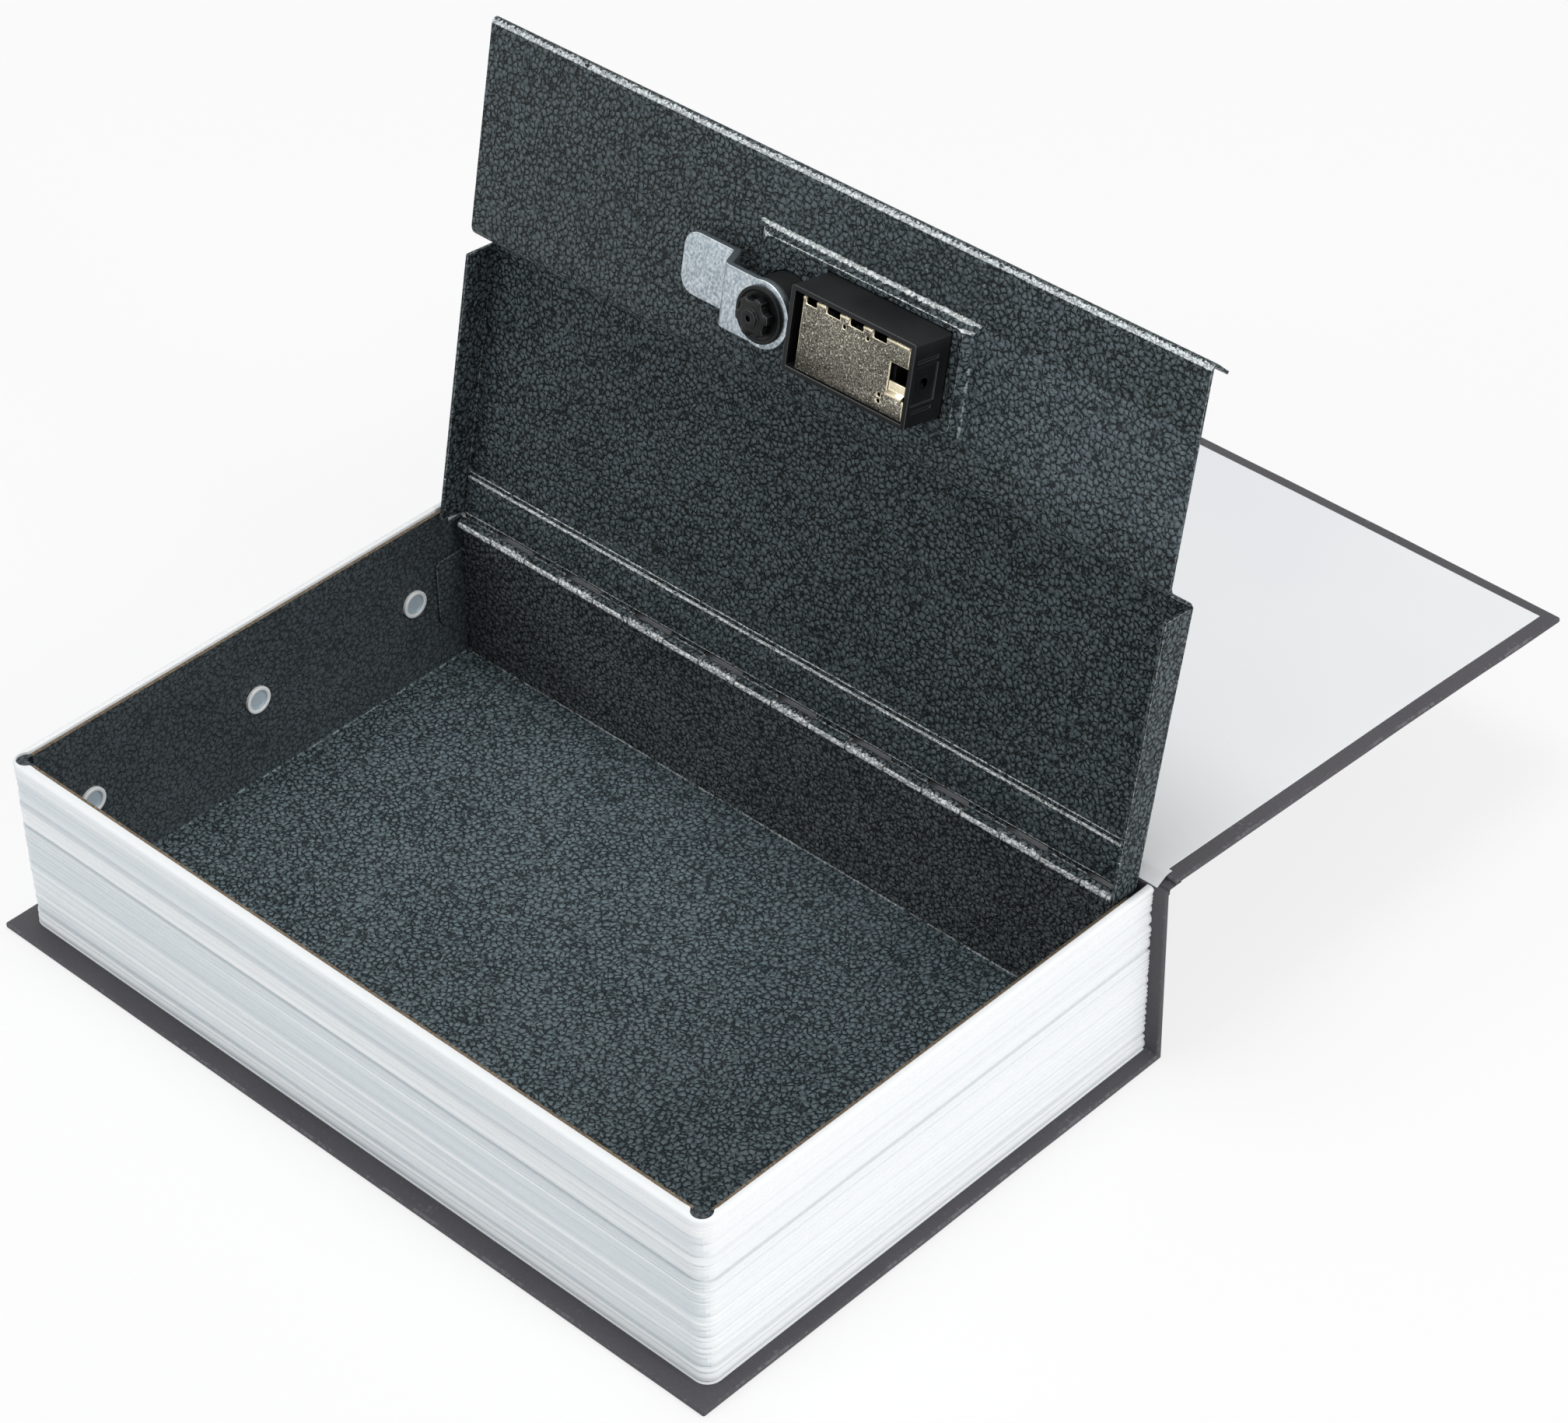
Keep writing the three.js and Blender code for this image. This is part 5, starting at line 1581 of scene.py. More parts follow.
@dataclass
class SteelLid:
    """Joggled steel lid with side flanges, rolled lip, lock pocket and its leaf of the hinge."""

    half_width: float = 112.5
    free_half: float = 111.65
    rear: float = 2.5
    flange_end: float = 77.1
    joggle_start: float = 78.7
    joggle_end: float = 83.9
    free_edge: float = 140.2
    high: float = -2.3
    low: float = 6.4
    flange_tip: float = 6.8
    sheet: float = 0.8
    flange_fold: float = 1.1
    joggle_fold: float = 1.6
    worn_edge: float = 0.22
    worn_angle: float = 28.0
    lip_radius: float = 1.0
    lip_inset: float = 1.4
    lip_slope: Pair = (3.8, 5.9)
    lip_steps: int = 7
    lip_drop: float = 4.5
    lip_margin: float = 3.0
    pocket_left: float = -17.7
    pocket_right: float = 47.5
    pocket_near: float = 93.5
    pocket_far: float = 123.4
    pocket_depth: float = 2.0
    pocket_slope: float = 2.0
    pocket_corner: float = 1.5
    far_fold: float = 2.6
    calm_margin: float = 4.0
    body_hole: Box = ((4.2, 98.2, 4.0), (42.8, 120.2, 12.0))
    barrel_radius: float = 8.5
    barrel_hole: Box = ((-6.0, 107.0, 4.0), (-6.0, 107.0, 12.0))
    leaf_start: float = 2.9
    leaf_reach: float = 13.4
    leaf_round: float = 0.26
    leaf_gap_round: float = 0.18
    shade_line: float = 4.6
    shade_half: float = 111.5
    beside_leaf: float = 17.0

    @property
    def edge(self) -> float:
        """Half the width of the sheet's middle surface."""
        return self.half_width - self.sheet / 2

    def build(self, box: SteelBox) -> None:
        """Make the lid's sheet and its hinge leaf.

        Args:
            box: The box, whose hinge the lid shares.
        """
        self.build_sheet()
        self.build_leaf(box)

    def lip_path(self) -> list[Pair]:
        """Middle line of the rolled lip at the free edge."""
        radius = self.lip_radius
        centre_v = self.free_edge - self.lip_inset
        centre_w = self.low - radius
        lean = math.atan2(*self.lip_slope)
        path = []
        for i in range(self.lip_steps + 1):
            angle = math.pi / 2 - (math.pi / 2 + lean) * i / self.lip_steps
            path.append((centre_v + radius * math.cos(angle), centre_w + radius * math.sin(angle)))
        last_v, last_w = path[-1]
        path.append((last_v - self.lip_drop * math.tan(lean), last_w - self.lip_drop))
        return path

    def build_sheet(self) -> None:
        """Sheet along its middle surface, then its thickness, holes and worn edges."""
        shape = Bench.strip(
            "lid_sheet", -self.edge, self.edge, self.rear, self.joggle_start, self.high
        )
        with Bench.editing(shape, "EDGE"):
            self.fold_sheet()
            self.press_pocket()
        Bench.thicken(shape, self.sheet)
        Bench.soften(shape, self.worn_edge, 2, self.worn_angle, EDGE)
        Bench.carve(
            shape, Bench.block("body_hole", *self.body_hole),
            Bench.rod("barrel_hole", self.barrel_radius, *self.barrel_hole),
        )
        self.colour_folds(shape)
        Bench.deliver(
            shape, LID, Part.LID,
            (
                Finish.PAINT, Finish.FOLD, Finish.LIP, Finish.POCKET_FAR, Finish.POCKET_END,
                Finish.JOGGLE, Finish.BESIDE_LEAF, Finish.SHADE,
            ),
            "painted_steel", ("lid_panel",),
        )

    def fold_sheet(self) -> None:
        """Draw the joggle and the lip out of the open sheet, and fold its side flanges up."""
        joggle = [(self.joggle_start, self.high), (self.joggle_end, self.low)]
        Bench.slice((0, self.flange_end, 0), (0, 1, 0))
        Bench.pick_edges(lambda a, b: min(a.y, b.y) > self.joggle_start - TOUCH)
        Bench.follow([*joggle, *self.lip_path()])
        Bench.pick_points(lambda point: point.y > self.joggle_end - TOUCH)
        narrow = (self.free_half / self.edge, 1, 1)
        bpy.ops.transform.resize(value=narrow, center_override=(0, 0, 0))
        Bench.pick_edges(self.is_side)
        Bench.pull((0, 0, self.flange_tip - self.high))
        Bench.pick_edges(lambda a, b: self.is_flange_fold(a) and self.is_flange_fold(b))
        Bench.round(self.flange_fold, 5)
        Bench.pick_edges(self.is_joggle_fold)
        Bench.round(self.joggle_fold, 4)

    def press_pocket(self) -> None:
        """Press the open sheet up round the lock."""
        Bench.slices(X, [self.pocket_left, self.pocket_right])
        Bench.slices(Y, [self.shade_line, self.beside_leaf, self.pocket_near, self.pocket_far])
        Bench.pick_faces(self.is_pocket)
        Bench.inset(self.pocket_slope)
        bpy.ops.transform.translate(value=(0, 0, self.pocket_depth))
        Bench.pick_edges(self.is_pocket_corner)
        Bench.round(self.pocket_corner, 3)

    def colour_folds(self, shape: Shape) -> None:
        """Number the finishes round the pocket, at the lip, at the joggle and by the hinge, with a
        near-black painted shade behind the slots of the leaf.
        """
        paint = 0
        lip, pocket_far, pocket_end, joggle, by_leaf, shade = range(2, 8)
        Bench.dye(shape, paint, self.is_calm)
        Bench.dye(shape, lip, self.is_chipped)
        Bench.dye(shape, pocket_far, self.is_far_fold)
        Bench.dye(shape, pocket_end, self.is_end_fold)
        Bench.dye(shape, joggle, lambda middle, normal: abs(middle.y - self.joggle_end) < 0.7)
        Bench.dye(shape, by_leaf, lambda middle, normal: (
            self.shade_line < middle.y < self.beside_leaf and is_top(middle, normal)
        ))
        # Painted shade: the sheet behind the leaf's slots is near-black.
        Bench.dye(shape, shade, lambda middle, normal: (
            middle.y < self.shade_line and abs(middle.x) < self.shade_half
        ))

    def is_side(self, a: Vector, b: Vector) -> bool:
        """True along the sheet's sides, from its rear to the end of the flanges."""
        return abs(a.y - b.y) > 1 and all(
            abs(point.x) > self.edge - TOUCH and point.y < self.flange_end + TOUCH
            for point in (a, b)
        )

    def is_flange_fold(self, point: Vector) -> bool:
        """True along the folds of the side flanges."""
        return (
            abs(point.x) > self.half_width - 0.5
            and point.y < self.flange_end + TOUCH
            and abs(point.z - self.high) < TOUCH
        )

    def is_joggle_fold(self, a: Vector, b: Vector) -> bool:
        """True along the two bends of the joggle."""
        return any(
            abs(a.y - bend) < TOUCH and abs(b.y - bend) < TOUCH
            for bend in (self.joggle_start, self.joggle_end)
        )

    def is_pocket(self, middle: Vector, normal: Vector) -> bool:
        """True on the face that is pressed up round the lock."""
        return (
            self.pocket_left < middle.x < self.pocket_right
            and self.pocket_near < middle.y < self.pocket_far
        )

    def is_pocket_corner(self, a: Vector, b: Vector) -> bool:
        """True along the four slanting corner edges of the pocket."""
        across = abs(abs(a.x - b.x) - self.pocket_slope) < 0.05
        along = abs(abs(a.y - b.y) - self.pocket_slope) < 0.05
        return across and along and rises(self.pocket_depth / 2)(a, b)

    def is_chipped(self, middle: Vector, normal: Vector) -> bool:
        """True round the bend of the lip, where the paint is chipped."""
        at_lip = middle.y > self.free_edge - self.lip_margin
        return at_lip and middle.z > self.low - 1.0 and normal.z > 0.2

    def is_far_fold(self, middle: Vector, normal: Vector) -> bool:
        """True along the far side of the pocket, beside its two folds."""
        inside = self.pocket_left - 0.5 < middle.x < self.pocket_right + 0.5
        start, end = self.pocket_far - self.far_fold, self.free_edge - self.lip_margin
        return inside and start < middle.y < end

    def is_end_fold(self, middle: Vector, normal: Vector) -> bool:
        """True beside the fold at the pocket's right end."""
        inside = self.pocket_near < middle.y < self.pocket_far - self.far_fold
        return inside and middle.x > self.pocket_right - 1.0

    def is_calm(self, middle: Vector, normal: Vector) -> bool:
        """True on the near and left sides of the pocket, where the paint has held."""
        margin = self.calm_margin
        near = middle.y < self.pocket_far - margin and middle.x < self.pocket_right - margin
        return near and middle.y > self.pocket_near - 1 and middle.x > self.pocket_left - 1

    def build_leaf(self, box: SteelBox) -> None:
        """Leaf of the hinge: one sheet whose edge is rolled into nine knuckles round the pin."""
        middle, start, reach = -box.roll, self.leaf_start, self.leaf_reach
        shape = Bench.strip("lid_leaf", -box.hinge_half, box.hinge_half, start, reach, middle)
        spans = [box.knuckle_span(number) for number in range(0, box.knuckles, 2)]
        with Bench.editing(shape, "EDGE"):
            Bench.slices(X, [end for span in spans for end in span])
            Bench.pick_edges(lambda a, b: (
                max(a.y, b.y) < start + TOUCH and box.in_spans(a, b, spans)
            ))
            Bench.pull((0, -start, 0))
        box.roll_edge(shape, (0, 0, 0), (-1, 0, 0))
        with Bench.editing(shape, "EDGE"):
            Bench.pick_edges(lambda a, b: abs(a.x - b.x) > 0.3 and min(a.y, b.y) > reach - TOUCH)
            Bench.round(self.leaf_round, 2, EDGE)
            Bench.pick_edges(lambda a, b: abs(a.x - b.x) > 9 and all(
                abs(point.y - start) < TOUCH and point.z > middle for point in (a, b)
            ))
            Bench.round(self.leaf_gap_round, 2, EDGE)
        # The front of the knuckles takes the painted highlight finish.
        knuckle = 2
        Bench.dye(shape, knuckle, lambda face, normal: face.y < 1.7 and normal.y < SIDEWAYS)
        Bench.deliver(
            shape, LID, Part.LID, (Finish.LEAF, Finish.BRIGHT_FOLD, Finish.KNUCKLE),
            "painted_steel", ("lid_hinge_leaf",),
        )


# Where the spindle of the lock goes through the lid.
SPINDLE = (-6.0, 107.0)


@dataclass
class CodeLock:
    """Combination cam lock in the lid: moulded body, plated back plate, lever and knob."""

    body: Box = ((4.5, 98.5, 7.1), (42.5, 119.9, 21.0))
    body_corner: float = 0.7
    flange: Box = ((-15.4, 95.8, 6.5), (45.2, 121.1, 7.72))
    flange_corner: float = 2.0
    hollow: Box = ((5.7, 99.7, 8.5), (41.3, 118.7, 30.0))
    wheel_u: Point = (14.0, 24.0, 34.0)
    wheel_slot: Point = (3.1, 102.4, 116.0)
    barrel: Point = (8.2, 7.0, 15.9)
    bore: Point = (3.1, 4.0, 20.0)
    web: Box = ((-6.0, 101.5, 9.1), (5.1, 112.5, 14.9))
    rib: Box = ((2.1, 112.2, 9.1), (5.0, 113.6, 18.4))
    end_slot: Box = ((41.9, 102.25, 12.6), (43.5, 102.95, 19.4))
    end_slot_2: Box = ((41.9, 114.85, 12.6), (43.5, 115.55, 19.4))
    end_recess: Box = ((42.15, 104.2, 12.0), (43.5, 113.6, 19.9))
    dimple_radius: float = 2.3
    dimple: Box = ((41.7, 109.0, 16.0), (42.4, 109.0, 16.0))
    plate: Box = ((8.2, 100.0, 20.0), (41.0, 118.4, 20.7))
    plate_edge: float = 0.26
    comb_start: float = 4.1
    comb_pitch: float = 7.15
    comb_gap: float = 4.0
    comb_depth: float = 1.7
    comb_gaps: int = 4
    hook_margin: float = 0.12
    hook_reach: Pair = (0.75, 0.08)
    hook_height: Pair = (20.55, 20.98)
    lever_slot: Box = ((35.8, 105.0, 19.0), (42.0, 113.0, 22.0))
    pin_hole: Point = (0.45, 19.0, 22.0)
    pin_aside: float = 1.6
    pin_v: float = 115.6
    square_hole: Box = ((33.2, 101.9, 19.0), (34.1, 102.8, 22.0))
    square_hole_2: Box = ((33.2, 103.5, 19.0), (34.1, 104.4, 22.0))
    lever: Box = ((36.1, 105.3, 20.0), (41.0, 108.7, 20.7))
    lever_bend: float = 106.5
    lever_rise: float = 1.25
    lever_lean: float = 0.5
    skirt: Point = (7.4, 4.2, 6.2)
    crown: Point = (5.9, 1.5, 4.7)
    grip: Box = ((-7.6, 101.1, -1.5), (-4.4, 112.9, 4.2))
    grip_corner: float = 1.2
    mark: Box = ((-6.3, 109.0, -2.0), (-5.7, 112.2, -1.2))

    def build(self) -> None:
        """Make the body, the back plate, the lever and the knob."""
        self.build_housing()
        self.build_plate()
        self.build_lever()
        self.build_knob()

    def build_housing(self) -> None:
        """Black body with a hollow for the wheels, barrel, web and slotted end."""
        shape = Bench.pillar("lock_body", *self.body, self.body_corner, 3)
        Bench.fuse(shape, Bench.pillar("flange", *self.flange, self.flange_corner, 4))
        half, near, far = self.wheel_slot
        Bench.carve(shape, Bench.block("hollow", *self.hollow), *(
            Bench.block("slot", (u - half, near, 4), (u + half, far, 9.5)) for u in self.wheel_u
        ))
        Bench.fuse(
            shape, Bench.post("barrel", SPINDLE, self.barrel, 56), Bench.block("web", *self.web),
            Bench.block("rib", *self.rib),
        )
        Bench.carve(
            shape, Bench.post("bore", SPINDLE, self.bore, 32),
            Bench.block("end_slot", *self.end_slot),
            Bench.block("end_slot", *self.end_slot_2), Bench.block("recess", *self.end_recess),
        )
        # The rounded edges take the painted highlight.
        Bench.soften(shape, 0.2, 2, TURNED, EDGE)
        Bench.gather(shape, self.make_dimple())
        Bench.deliver(
            shape, LID, Part.LID, (Finish.BLACK, Finish.BLACK_EDGE), "black_plastic",
            ("lock_housing",), TURNED,
        )

    def make_dimple(self) -> Shape:
        """Round boss with a dished face, in the recess of the body's end."""
        dimple = Bench.rod("dimple", self.dimple_radius, *self.dimple, 32)
        with Bench.editing(dimple):
            Bench.pick_faces(lambda middle, normal: normal.x > FACING)
            Bench.inset(0.9, -0.25)
        Bench.soften(dimple, 0.1, 2, TURNED)
        return dimple

    def comb_notches(self) -> list[Pair]:
        """Start and end of each gap in the plate's comb."""
        left = self.plate[0][0]
        ends = [left + self.comb_start + self.comb_pitch * i for i in range(self.comb_gaps)]
        return [(max(end - self.comb_gap, left + 1.0), end) for end in ends]

    def build_plate(self) -> None:
        """Nickel plate with a comb of tabs, whose ends are bent, with painted highlights on its
        edges and bent ends.
        """
        shape = Bench.block("comb_plate", *self.plate)
        Bench.carve(shape, *self.plate_holes())
        Bench.soften(shape, self.plate_edge, 2, CORNERS, EDGE)
        # The plate's edges take the painted highlight.
        Bench.dye(shape, EDGE, lambda middle, normal: abs(normal.z) < 0.96)
        Bench.gather(shape, *self.make_hooks())
        Bench.deliver(
            shape, LID, Part.LID, (Finish.NICKEL, Finish.BRIGHT_NICKEL), "nickel",
            ("lock_back_plate",),
        )

    def plate_holes(self) -> list[Shape]:
        """The comb's gaps, the lever's slot and the small holes of the plate."""
        far, notches = self.plate[1][1], self.comb_notches()
        return [
            *(
                Bench.block("notch", (start, far - self.comb_depth, 19), (end, far + 1, 22))
                for start, end in notches
            ),
            Bench.block("lever_slot", *self.lever_slot),
            *(
                Bench.post("pin_hole", (end + self.pin_aside, self.pin_v), self.pin_hole, 16)
                for _, end in notches[1:3]
            ),
            Bench.block("square_hole", *self.square_hole),
            Bench.block("square_hole", *self.square_hole_2),
        ]

    def make_hooks(self) -> list[Shape]:
        """Bent ends of the comb's tabs, one on each side of every gap, coloured as a painted
        highlight.
        """
        (left, _, _), (right, far, _) = self.plate
        (near, end), (low, high) = self.hook_reach, self.hook_height
        stops = [left, *(stop for notch in self.comb_notches() for stop in notch), right]
        hooks = []
        for x0, x1 in zip(stops[::2], stops[1::2]):
            x0, x1 = x0 + self.hook_margin, x1 - self.hook_margin
            hook = Bench.block("hook", (x0, far - near, low), (x1, far - end, high))
            Bench.soften(hook, 0.14, 2, TURNED)
            Bench.dye(hook, EDGE, lambda middle, normal: True)
            hooks.append(hook)
        return hooks

    def build_lever(self) -> None:
        """Reset lever: a bright tab bent up out of the plate's slot."""
        bend, top = self.lever_bend, self.lever[1][2] + self.lever_rise
        shape = Bench.block("reset_tab", *self.lever)
        with Bench.editing(shape):
            Bench.pick_faces(is_top)
            bpy.ops.mesh.bisect(plane_co=(0, bend, 0), plane_no=(0, 1, 0))
            Bench.pick_faces(lambda middle, normal: is_top(middle, normal) and middle.y < bend)
            Bench.pull((0, 0, self.lever_rise))
            Bench.pick_edges(lambda a, b: min(a.z, b.z) > top - 0.05 and min(a.y, b.y) > bend - 0.1)
            bpy.ops.transform.translate(value=(0, -self.lever_lean, 0))
        Bench.soften(shape, 0.14, 2, 30.0)
        Bench.deliver(shape, LID, Part.RESET, (Finish.BRIGHT_NICKEL,), "nickel", ("reset_lever",))

    def build_knob(self) -> None:
        """Round knob outside the lid, with a grip bar across its face."""
        shape = Bench.post("knob_skirt", SPINDLE, self.skirt, 64)
        crown = Bench.post("crown", SPINDLE, self.crown, 64)
        Bench.fuse(shape, crown, Bench.pillar("grip", *self.grip, self.grip_corner, 4))
        Bench.carve(shape, Bench.block("mark", *self.mark))
        Bench.soften(shape, 0.3, 3, TURNED)
        Bench.deliver(
            shape, LID, Part.CAM, (Finish.BLACK,), "black_plastic", ("turn_knob",), TURNED
        )


@dataclass
class LatchCam:
    """Cranked cam on the spindle, with its washer and lobed nut."""

    arm_under: float = 16.2
    sheet: float = 1.8
    crank: float = -18.4
    crank_fold: float = 1.1
    foot: float = -22.0
    tip: float = -37.9
    tip_corner: float = 4.4
    tongue: float = 10.1
    half_width: float = 8.0
    hub: float = 8.4
    worn_edge: float = 0.34
    washer: Point = (7.0, 18.1, 19.1)
    nut: Point = (5.0, 19.2, 21.4)
    nut_root: float = 0.8
    lobes: int = 6
    root_angles: Pair = (27.0, 57.0)
    tube: Point = (2.2, 20.0, 22.5)
    bore: Point = (0.8, 19.0, 24.0)

    def build(self) -> None:
        """Make the cam, the washer and the nut."""
        self.build_cam()
        self.build_washer()
        self.build_nut()

    def build_cam(self) -> None:
        """Zinc-plated cam: round hub, crank and tongue."""
        u, v = SPINDLE
        middle, top = self.arm_under + self.sheet / 2, self.arm_under + self.sheet
        near, far = v - self.half_width, v + self.half_width
        shape = Bench.strip("cam_sheet", self.crank, u, near, far, middle)
        with Bench.editing(shape, "EDGE"):
            Bench.pick_edges(lambda a, b: max(a.x, b.x) < self.crank + TOUCH)
            Bench.pull((self.foot - self.crank, 0, self.tongue - middle))
            Bench.pull((self.tip - self.foot, 0, 0))
            Bench.pick_edges(lambda a, b: (
                abs(a.x - b.x) < TOUCH and self.foot - 1 < a.x < self.crank + 1
            ))
            Bench.round(self.crank_fold, 4)
        Bench.thicken(shape, self.sheet)
        Bench.fuse(shape, Bench.post("hub", SPINDLE, (self.hub, self.arm_under, top), 72))
        with Bench.editing(shape, "EDGE"):
            Bench.pick_edges(lambda a, b: max(a.x, b.x) < self.tip + TOUCH and rises(1)(a, b))
            Bench.round(self.tip_corner, 6)
        # The rounded edges take the painted highlight.
        Bench.soften(shape, self.worn_edge, 3, TURNED, EDGE)
        Bench.deliver(
            shape, LID, Part.CAM, (Finish.ZINC, Finish.ZINC_EDGE), "zinc", ("latch_cam",), TURNED
        )

    def build_washer(self) -> None:
        """Black washer under the nut."""
        shape = Bench.post("washer", SPINDLE, self.washer, 56)
        with Bench.editing(shape):
            Bench.pick_faces(is_top)
            Bench.inset(0.9)
            Bench.inset(0.2, -0.25)
        Bench.soften(shape, 0.12, 2, TURNED)
        Bench.deliver(
            shape, LID, Part.CAM, (Finish.BLACK,), "black_plastic", ("cam_washer",), TURNED
        )

    def build_nut(self) -> None:
        """Lobed nut with a short tube over the end of the thread."""
        shape = Bench.post("lobed_nut", SPINDLE, self.nut, 48)
        heart = (*SPINDLE, (self.nut[1] + self.nut[2]) / 2)
        with Bench.editing(shape, "VERT"):
            Bench.pick_points(self.is_root)
            bpy.ops.transform.resize(value=(self.nut_root, self.nut_root, 1), center_override=heart)
            Bench.pick_faces(is_top)
            Bench.inset(0.7, 0.25)
        Bench.fuse(shape, Bench.post("tube", SPINDLE, self.tube, 40))
        Bench.carve(shape, Bench.post("bore", SPINDLE, self.bore, 24))
        # The rounded edges take the painted highlight.
        Bench.soften(shape, 0.16, 2, TURNED, EDGE)
        Bench.deliver(
            shape, LID, Part.CAM, (Finish.BLACK, Finish.BLACK_EDGE), "black_plastic",
            ("cam_nut",), 35.0,
        )

    def is_root(self, point: Vector) -> bool:
        """True between two lobes of the nut."""
        start, end = self.root_angles
        angle = math.degrees(math.atan2(point.y - SPINDLE[1], point.x - SPINDLE[0]))
        return start < angle % (360 / self.lobes) < end


@dataclass
class InnerWorks:
    """Plain nodes of the model that stay as they are and only take a finish."""

    wheels: tuple[int, ...] = (1, 2, 3)

    def dress(self) -> None:
        """Give each of them its material."""
        finishes = {
            "hinge_pin": Finish.STEEL,
            **{f"dial_wheel_{number}": Finish.BLACK for number in self.wheels},
            **{f"code_hub_{number}": Finish.BRASS for number in self.wheels},
            "dial_axle": Finish.STEEL,
            "fence_slide": Finish.ZINC,
            "fence_spring": Finish.STEEL,
            "cam_spindle": Finish.ZINC,
        }
        for name, finish in finishes.items():
            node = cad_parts[name]
            node.data.materials.clear()
            node.data.materials.append(finish.material)
            log.info("%s: %s", name, finish.value.name)


@dataclass(frozen=True)
class Lamp:
    """Soft area lamp, with its place and its diameter in metres and its power in watts."""

    name: str
    place: Point
    size: float
    power: float
    tone: Point = (1.0, 1.0, 1.0)
    target: Point = (0.0, 0.02, 0.05)

    def hang(self) -> None:
        """Hang the lamp and point it at its target."""
        bpy.ops.object.select_all(action="DESELECT")
        bpy.ops.object.light_add(type="AREA", location=self.place)
        lamp = bpy.context.object
        lamp.name = self.name
        lamp.data.shape = "DISK"
        lamp.data.size = self.size
        lamp.data.energy = self.power
        lamp.data.color = self.tone
        aim = Vector(self.target) - Vector(self.place)
        lamp.rotation_euler = aim.to_track_quat("-Z", "Y").to_euler()


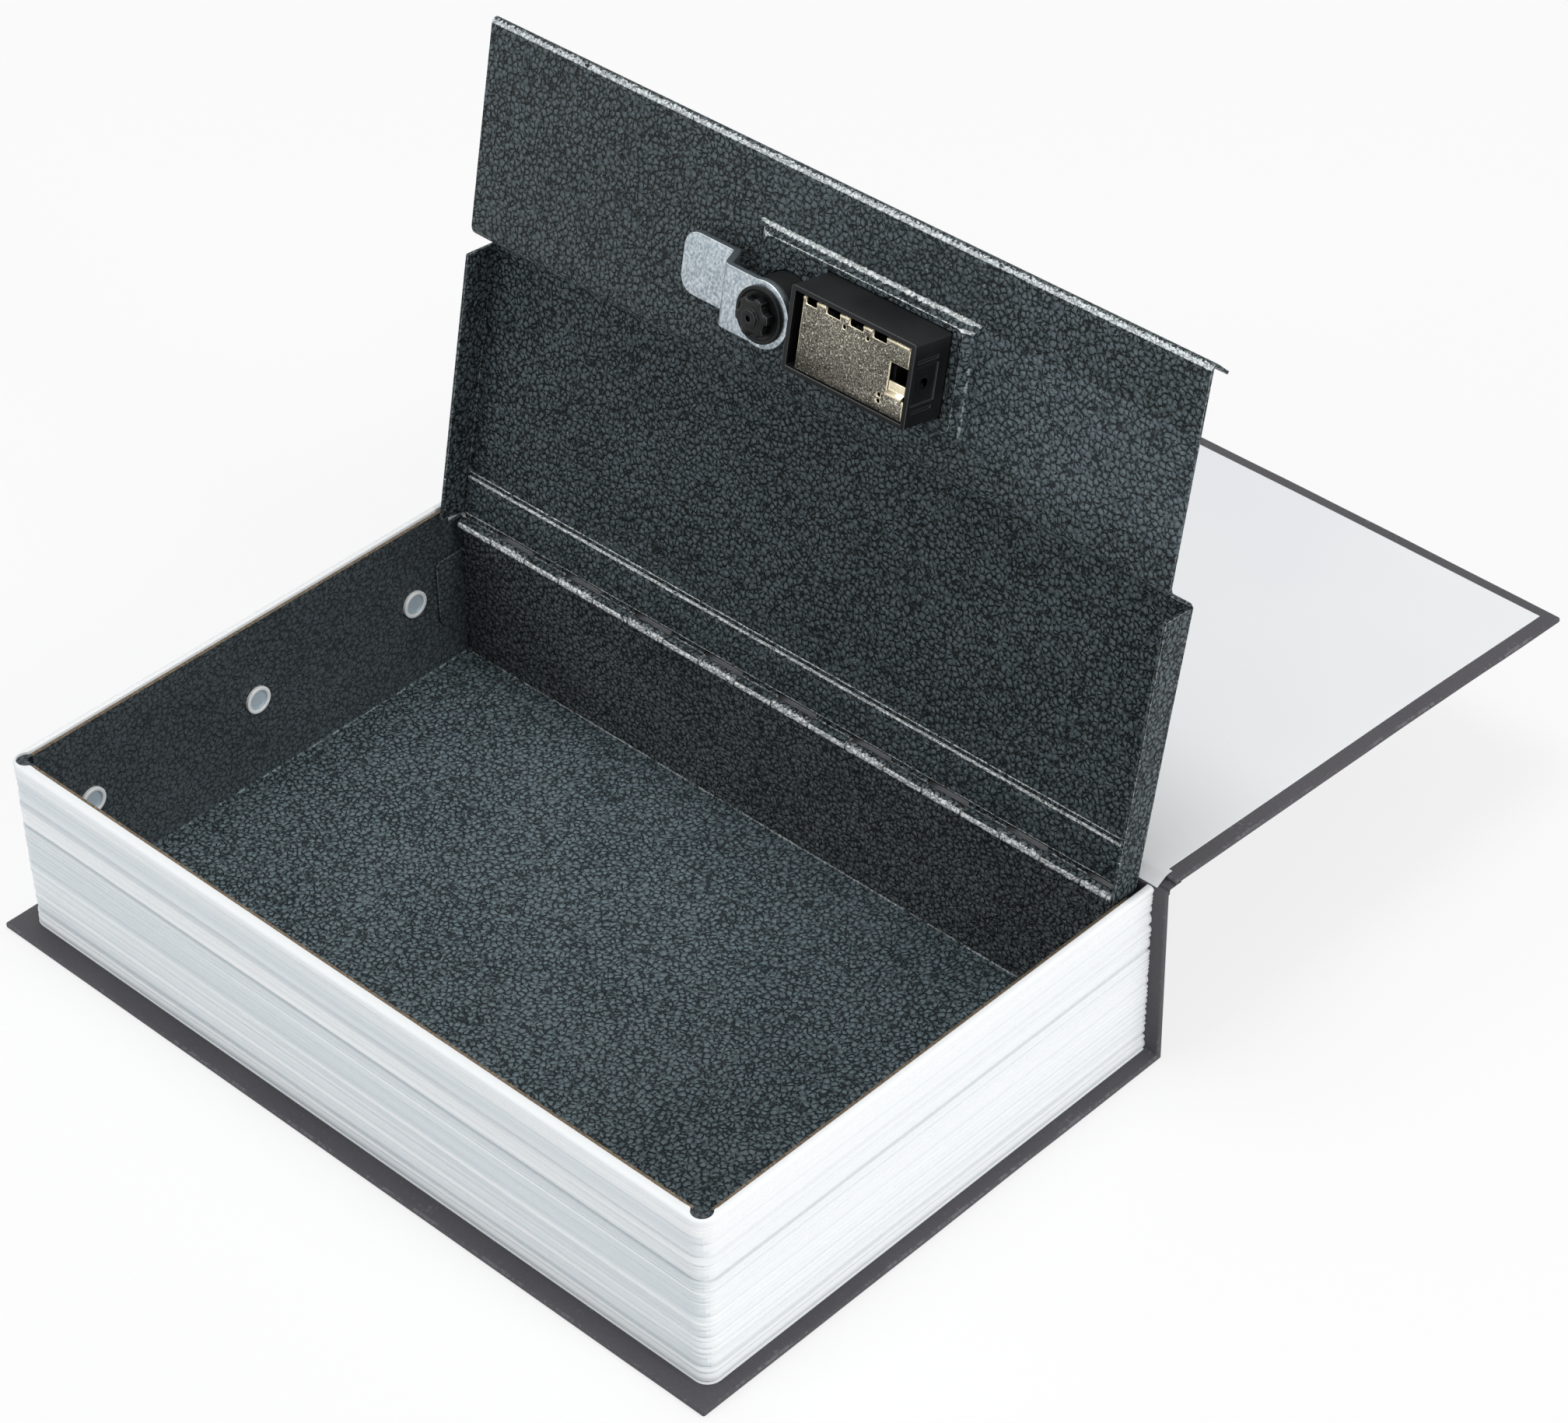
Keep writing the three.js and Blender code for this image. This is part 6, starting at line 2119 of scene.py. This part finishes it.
@dataclass
class Studio:
    """Pale floor, white surroundings, soft lamps and the camera of the photograph."""

    azimuth: float = 44.10
    elevation: float = 38.33
    roll: float = -1.12
    distance: float = 1110.68
    target: Point = (-4.69, 78.74, 40.79)
    lens: float = 103.515
    sensor: float = 36.0
    shift: Pair = (0.00304, -0.00664)
    clip: Pair = (0.01, 30.0)
    surroundings: float = 0.42
    floor_size: float = 8.0
    floor_height: float = -0.0002
    floor_grey: float = 0.9
    floor_roughness: float = 0.9
    floor_shine: float = 0.1
    floor_glow: float = 0.78
    lamps: tuple[Lamp, ...] = (
        Lamp("key", (1.5, 0.15, 0.85), 0.6, 12.0),
        Lamp("fill", (-0.7, -1.35, 0.9), 1.0, 6.8, (0.91, 0.96, 1.0)),
        Lamp("top", (-0.2, 0.1, 1.8), 0.8, 10.0),
    )

    def build(self) -> None:
        """Make the floor, the surroundings, the lamps and the camera."""
        self.lay_floor()
        self.set_surroundings()
        for lamp in self.lamps:
            lamp.hang()
        self.place_camera()
        bpy.context.scene.view_settings.view_transform = "Standard"

    def camera_share(self, tree: bpy.types.NodeTree) -> Socket:
        """Node output that is 1 for rays from the camera, in mirrors and through glass."""
        path = tree.nodes.new("ShaderNodeLightPath")
        total = path.outputs["Is Camera Ray"]
        for name in ("Is Glossy Ray", "Is Transmission Ray"):
            node = tree.nodes.new("ShaderNodeMath")
            node.operation = "MAXIMUM"
            tree.links.new(total, node.inputs[0])
            tree.links.new(path.outputs[name], node.inputs[1])
            total = node.outputs[0]
        return total

    def lay_floor(self) -> None:
        """Wide pale floor that keeps the book's shadow."""
        bpy.ops.object.select_all(action="DESELECT")
        bpy.ops.mesh.primitive_plane_add(size=self.floor_size, location=(0, 0, self.floor_height))
        floor = bpy.context.object
        floor.name = "studio_floor"
        recipe = Recipe("studio_floor", "#ffffff", self.floor_roughness)
        grey = (self.floor_grey, self.floor_grey, self.floor_grey, 1.0)
        recipe.set(Base_Color=grey, Specular_IOR_Level=self.floor_shine)
        share = recipe.reckon("MULTIPLY", self.camera_share(recipe.tree), self.floor_glow)
        glow = recipe.node("ShaderNodeEmission")
        join = recipe.node("ShaderNodeMixShader")
        for source, socket in zip((share, recipe.shader.outputs[0], glow.outputs[0]), join.inputs):
            recipe.wire(source, socket)
        recipe.wire(join.outputs[0], recipe.tree.nodes["Material Output"].inputs[0])
        floor.data.materials.append(recipe.material)

    def set_surroundings(self) -> None:
        """White to the camera and in reflections, dimmer as a source of light."""
        world = bpy.data.worlds.new("studio_air")
        bpy.context.scene.world = world
        world.use_nodes = True
        tree = world.node_tree
        ground = tree.nodes["Background"]
        ground.inputs["Color"].default_value = (1, 1, 1, 1)
        level = tree.nodes.new("ShaderNodeMapRange")
        level.inputs["To Min"].default_value = self.surroundings
        level.inputs["To Max"].default_value = 1.0
        tree.links.new(self.camera_share(tree), level.inputs["Value"])
        tree.links.new(level.outputs[0], ground.inputs["Strength"])

    def place_camera(self) -> None:
        """Camera fitted to the photograph's corners."""
        azimuth, elevation, roll = (
            math.radians(angle) for angle in (self.azimuth, self.elevation, self.roll)
        )
        back = Vector((
            math.sin(azimuth) * math.cos(elevation),
            -math.cos(azimuth) * math.cos(elevation),
            math.sin(elevation),
        ))
        across = Vector((0, 0, 1)).cross(back).normalized()
        upright = back.cross(across)
        right = across * math.cos(roll) + upright * math.sin(roll)
        up = upright * math.cos(roll) - across * math.sin(roll)
        matrix = Matrix((right, up, back)).transposed().to_4x4()
        matrix.translation = (Vector(self.target) + back * self.distance) * MM
        data = bpy.data.cameras.new("photo_camera")
        data.lens = self.lens
        data.sensor_width = self.sensor
        data.sensor_fit = "HORIZONTAL"
        data.shift_x, data.shift_y = self.shift
        data.clip_start, data.clip_end = self.clip
        camera = bpy.data.objects.new("photo_camera", data)
        bpy.context.scene.collection.objects.link(camera)
        camera.matrix_world = matrix
        bpy.context.scene.camera = camera


def main() -> None:
    """Build the book safe, piece by piece, and its studio."""
    logging.basicConfig(level=logging.INFO, format="%(name)s %(message)s")
    BookCase().build()
    FrontCover().build()
    PageBlock().build()
    box = SteelBox()
    box.build()
    SteelLid().build(box)
    CodeLock().build()
    LatchCam().build()
    InnerWorks().dress()
    Bench.sweep_up()
    Studio().build()


if __name__ == "__main__":
    main()
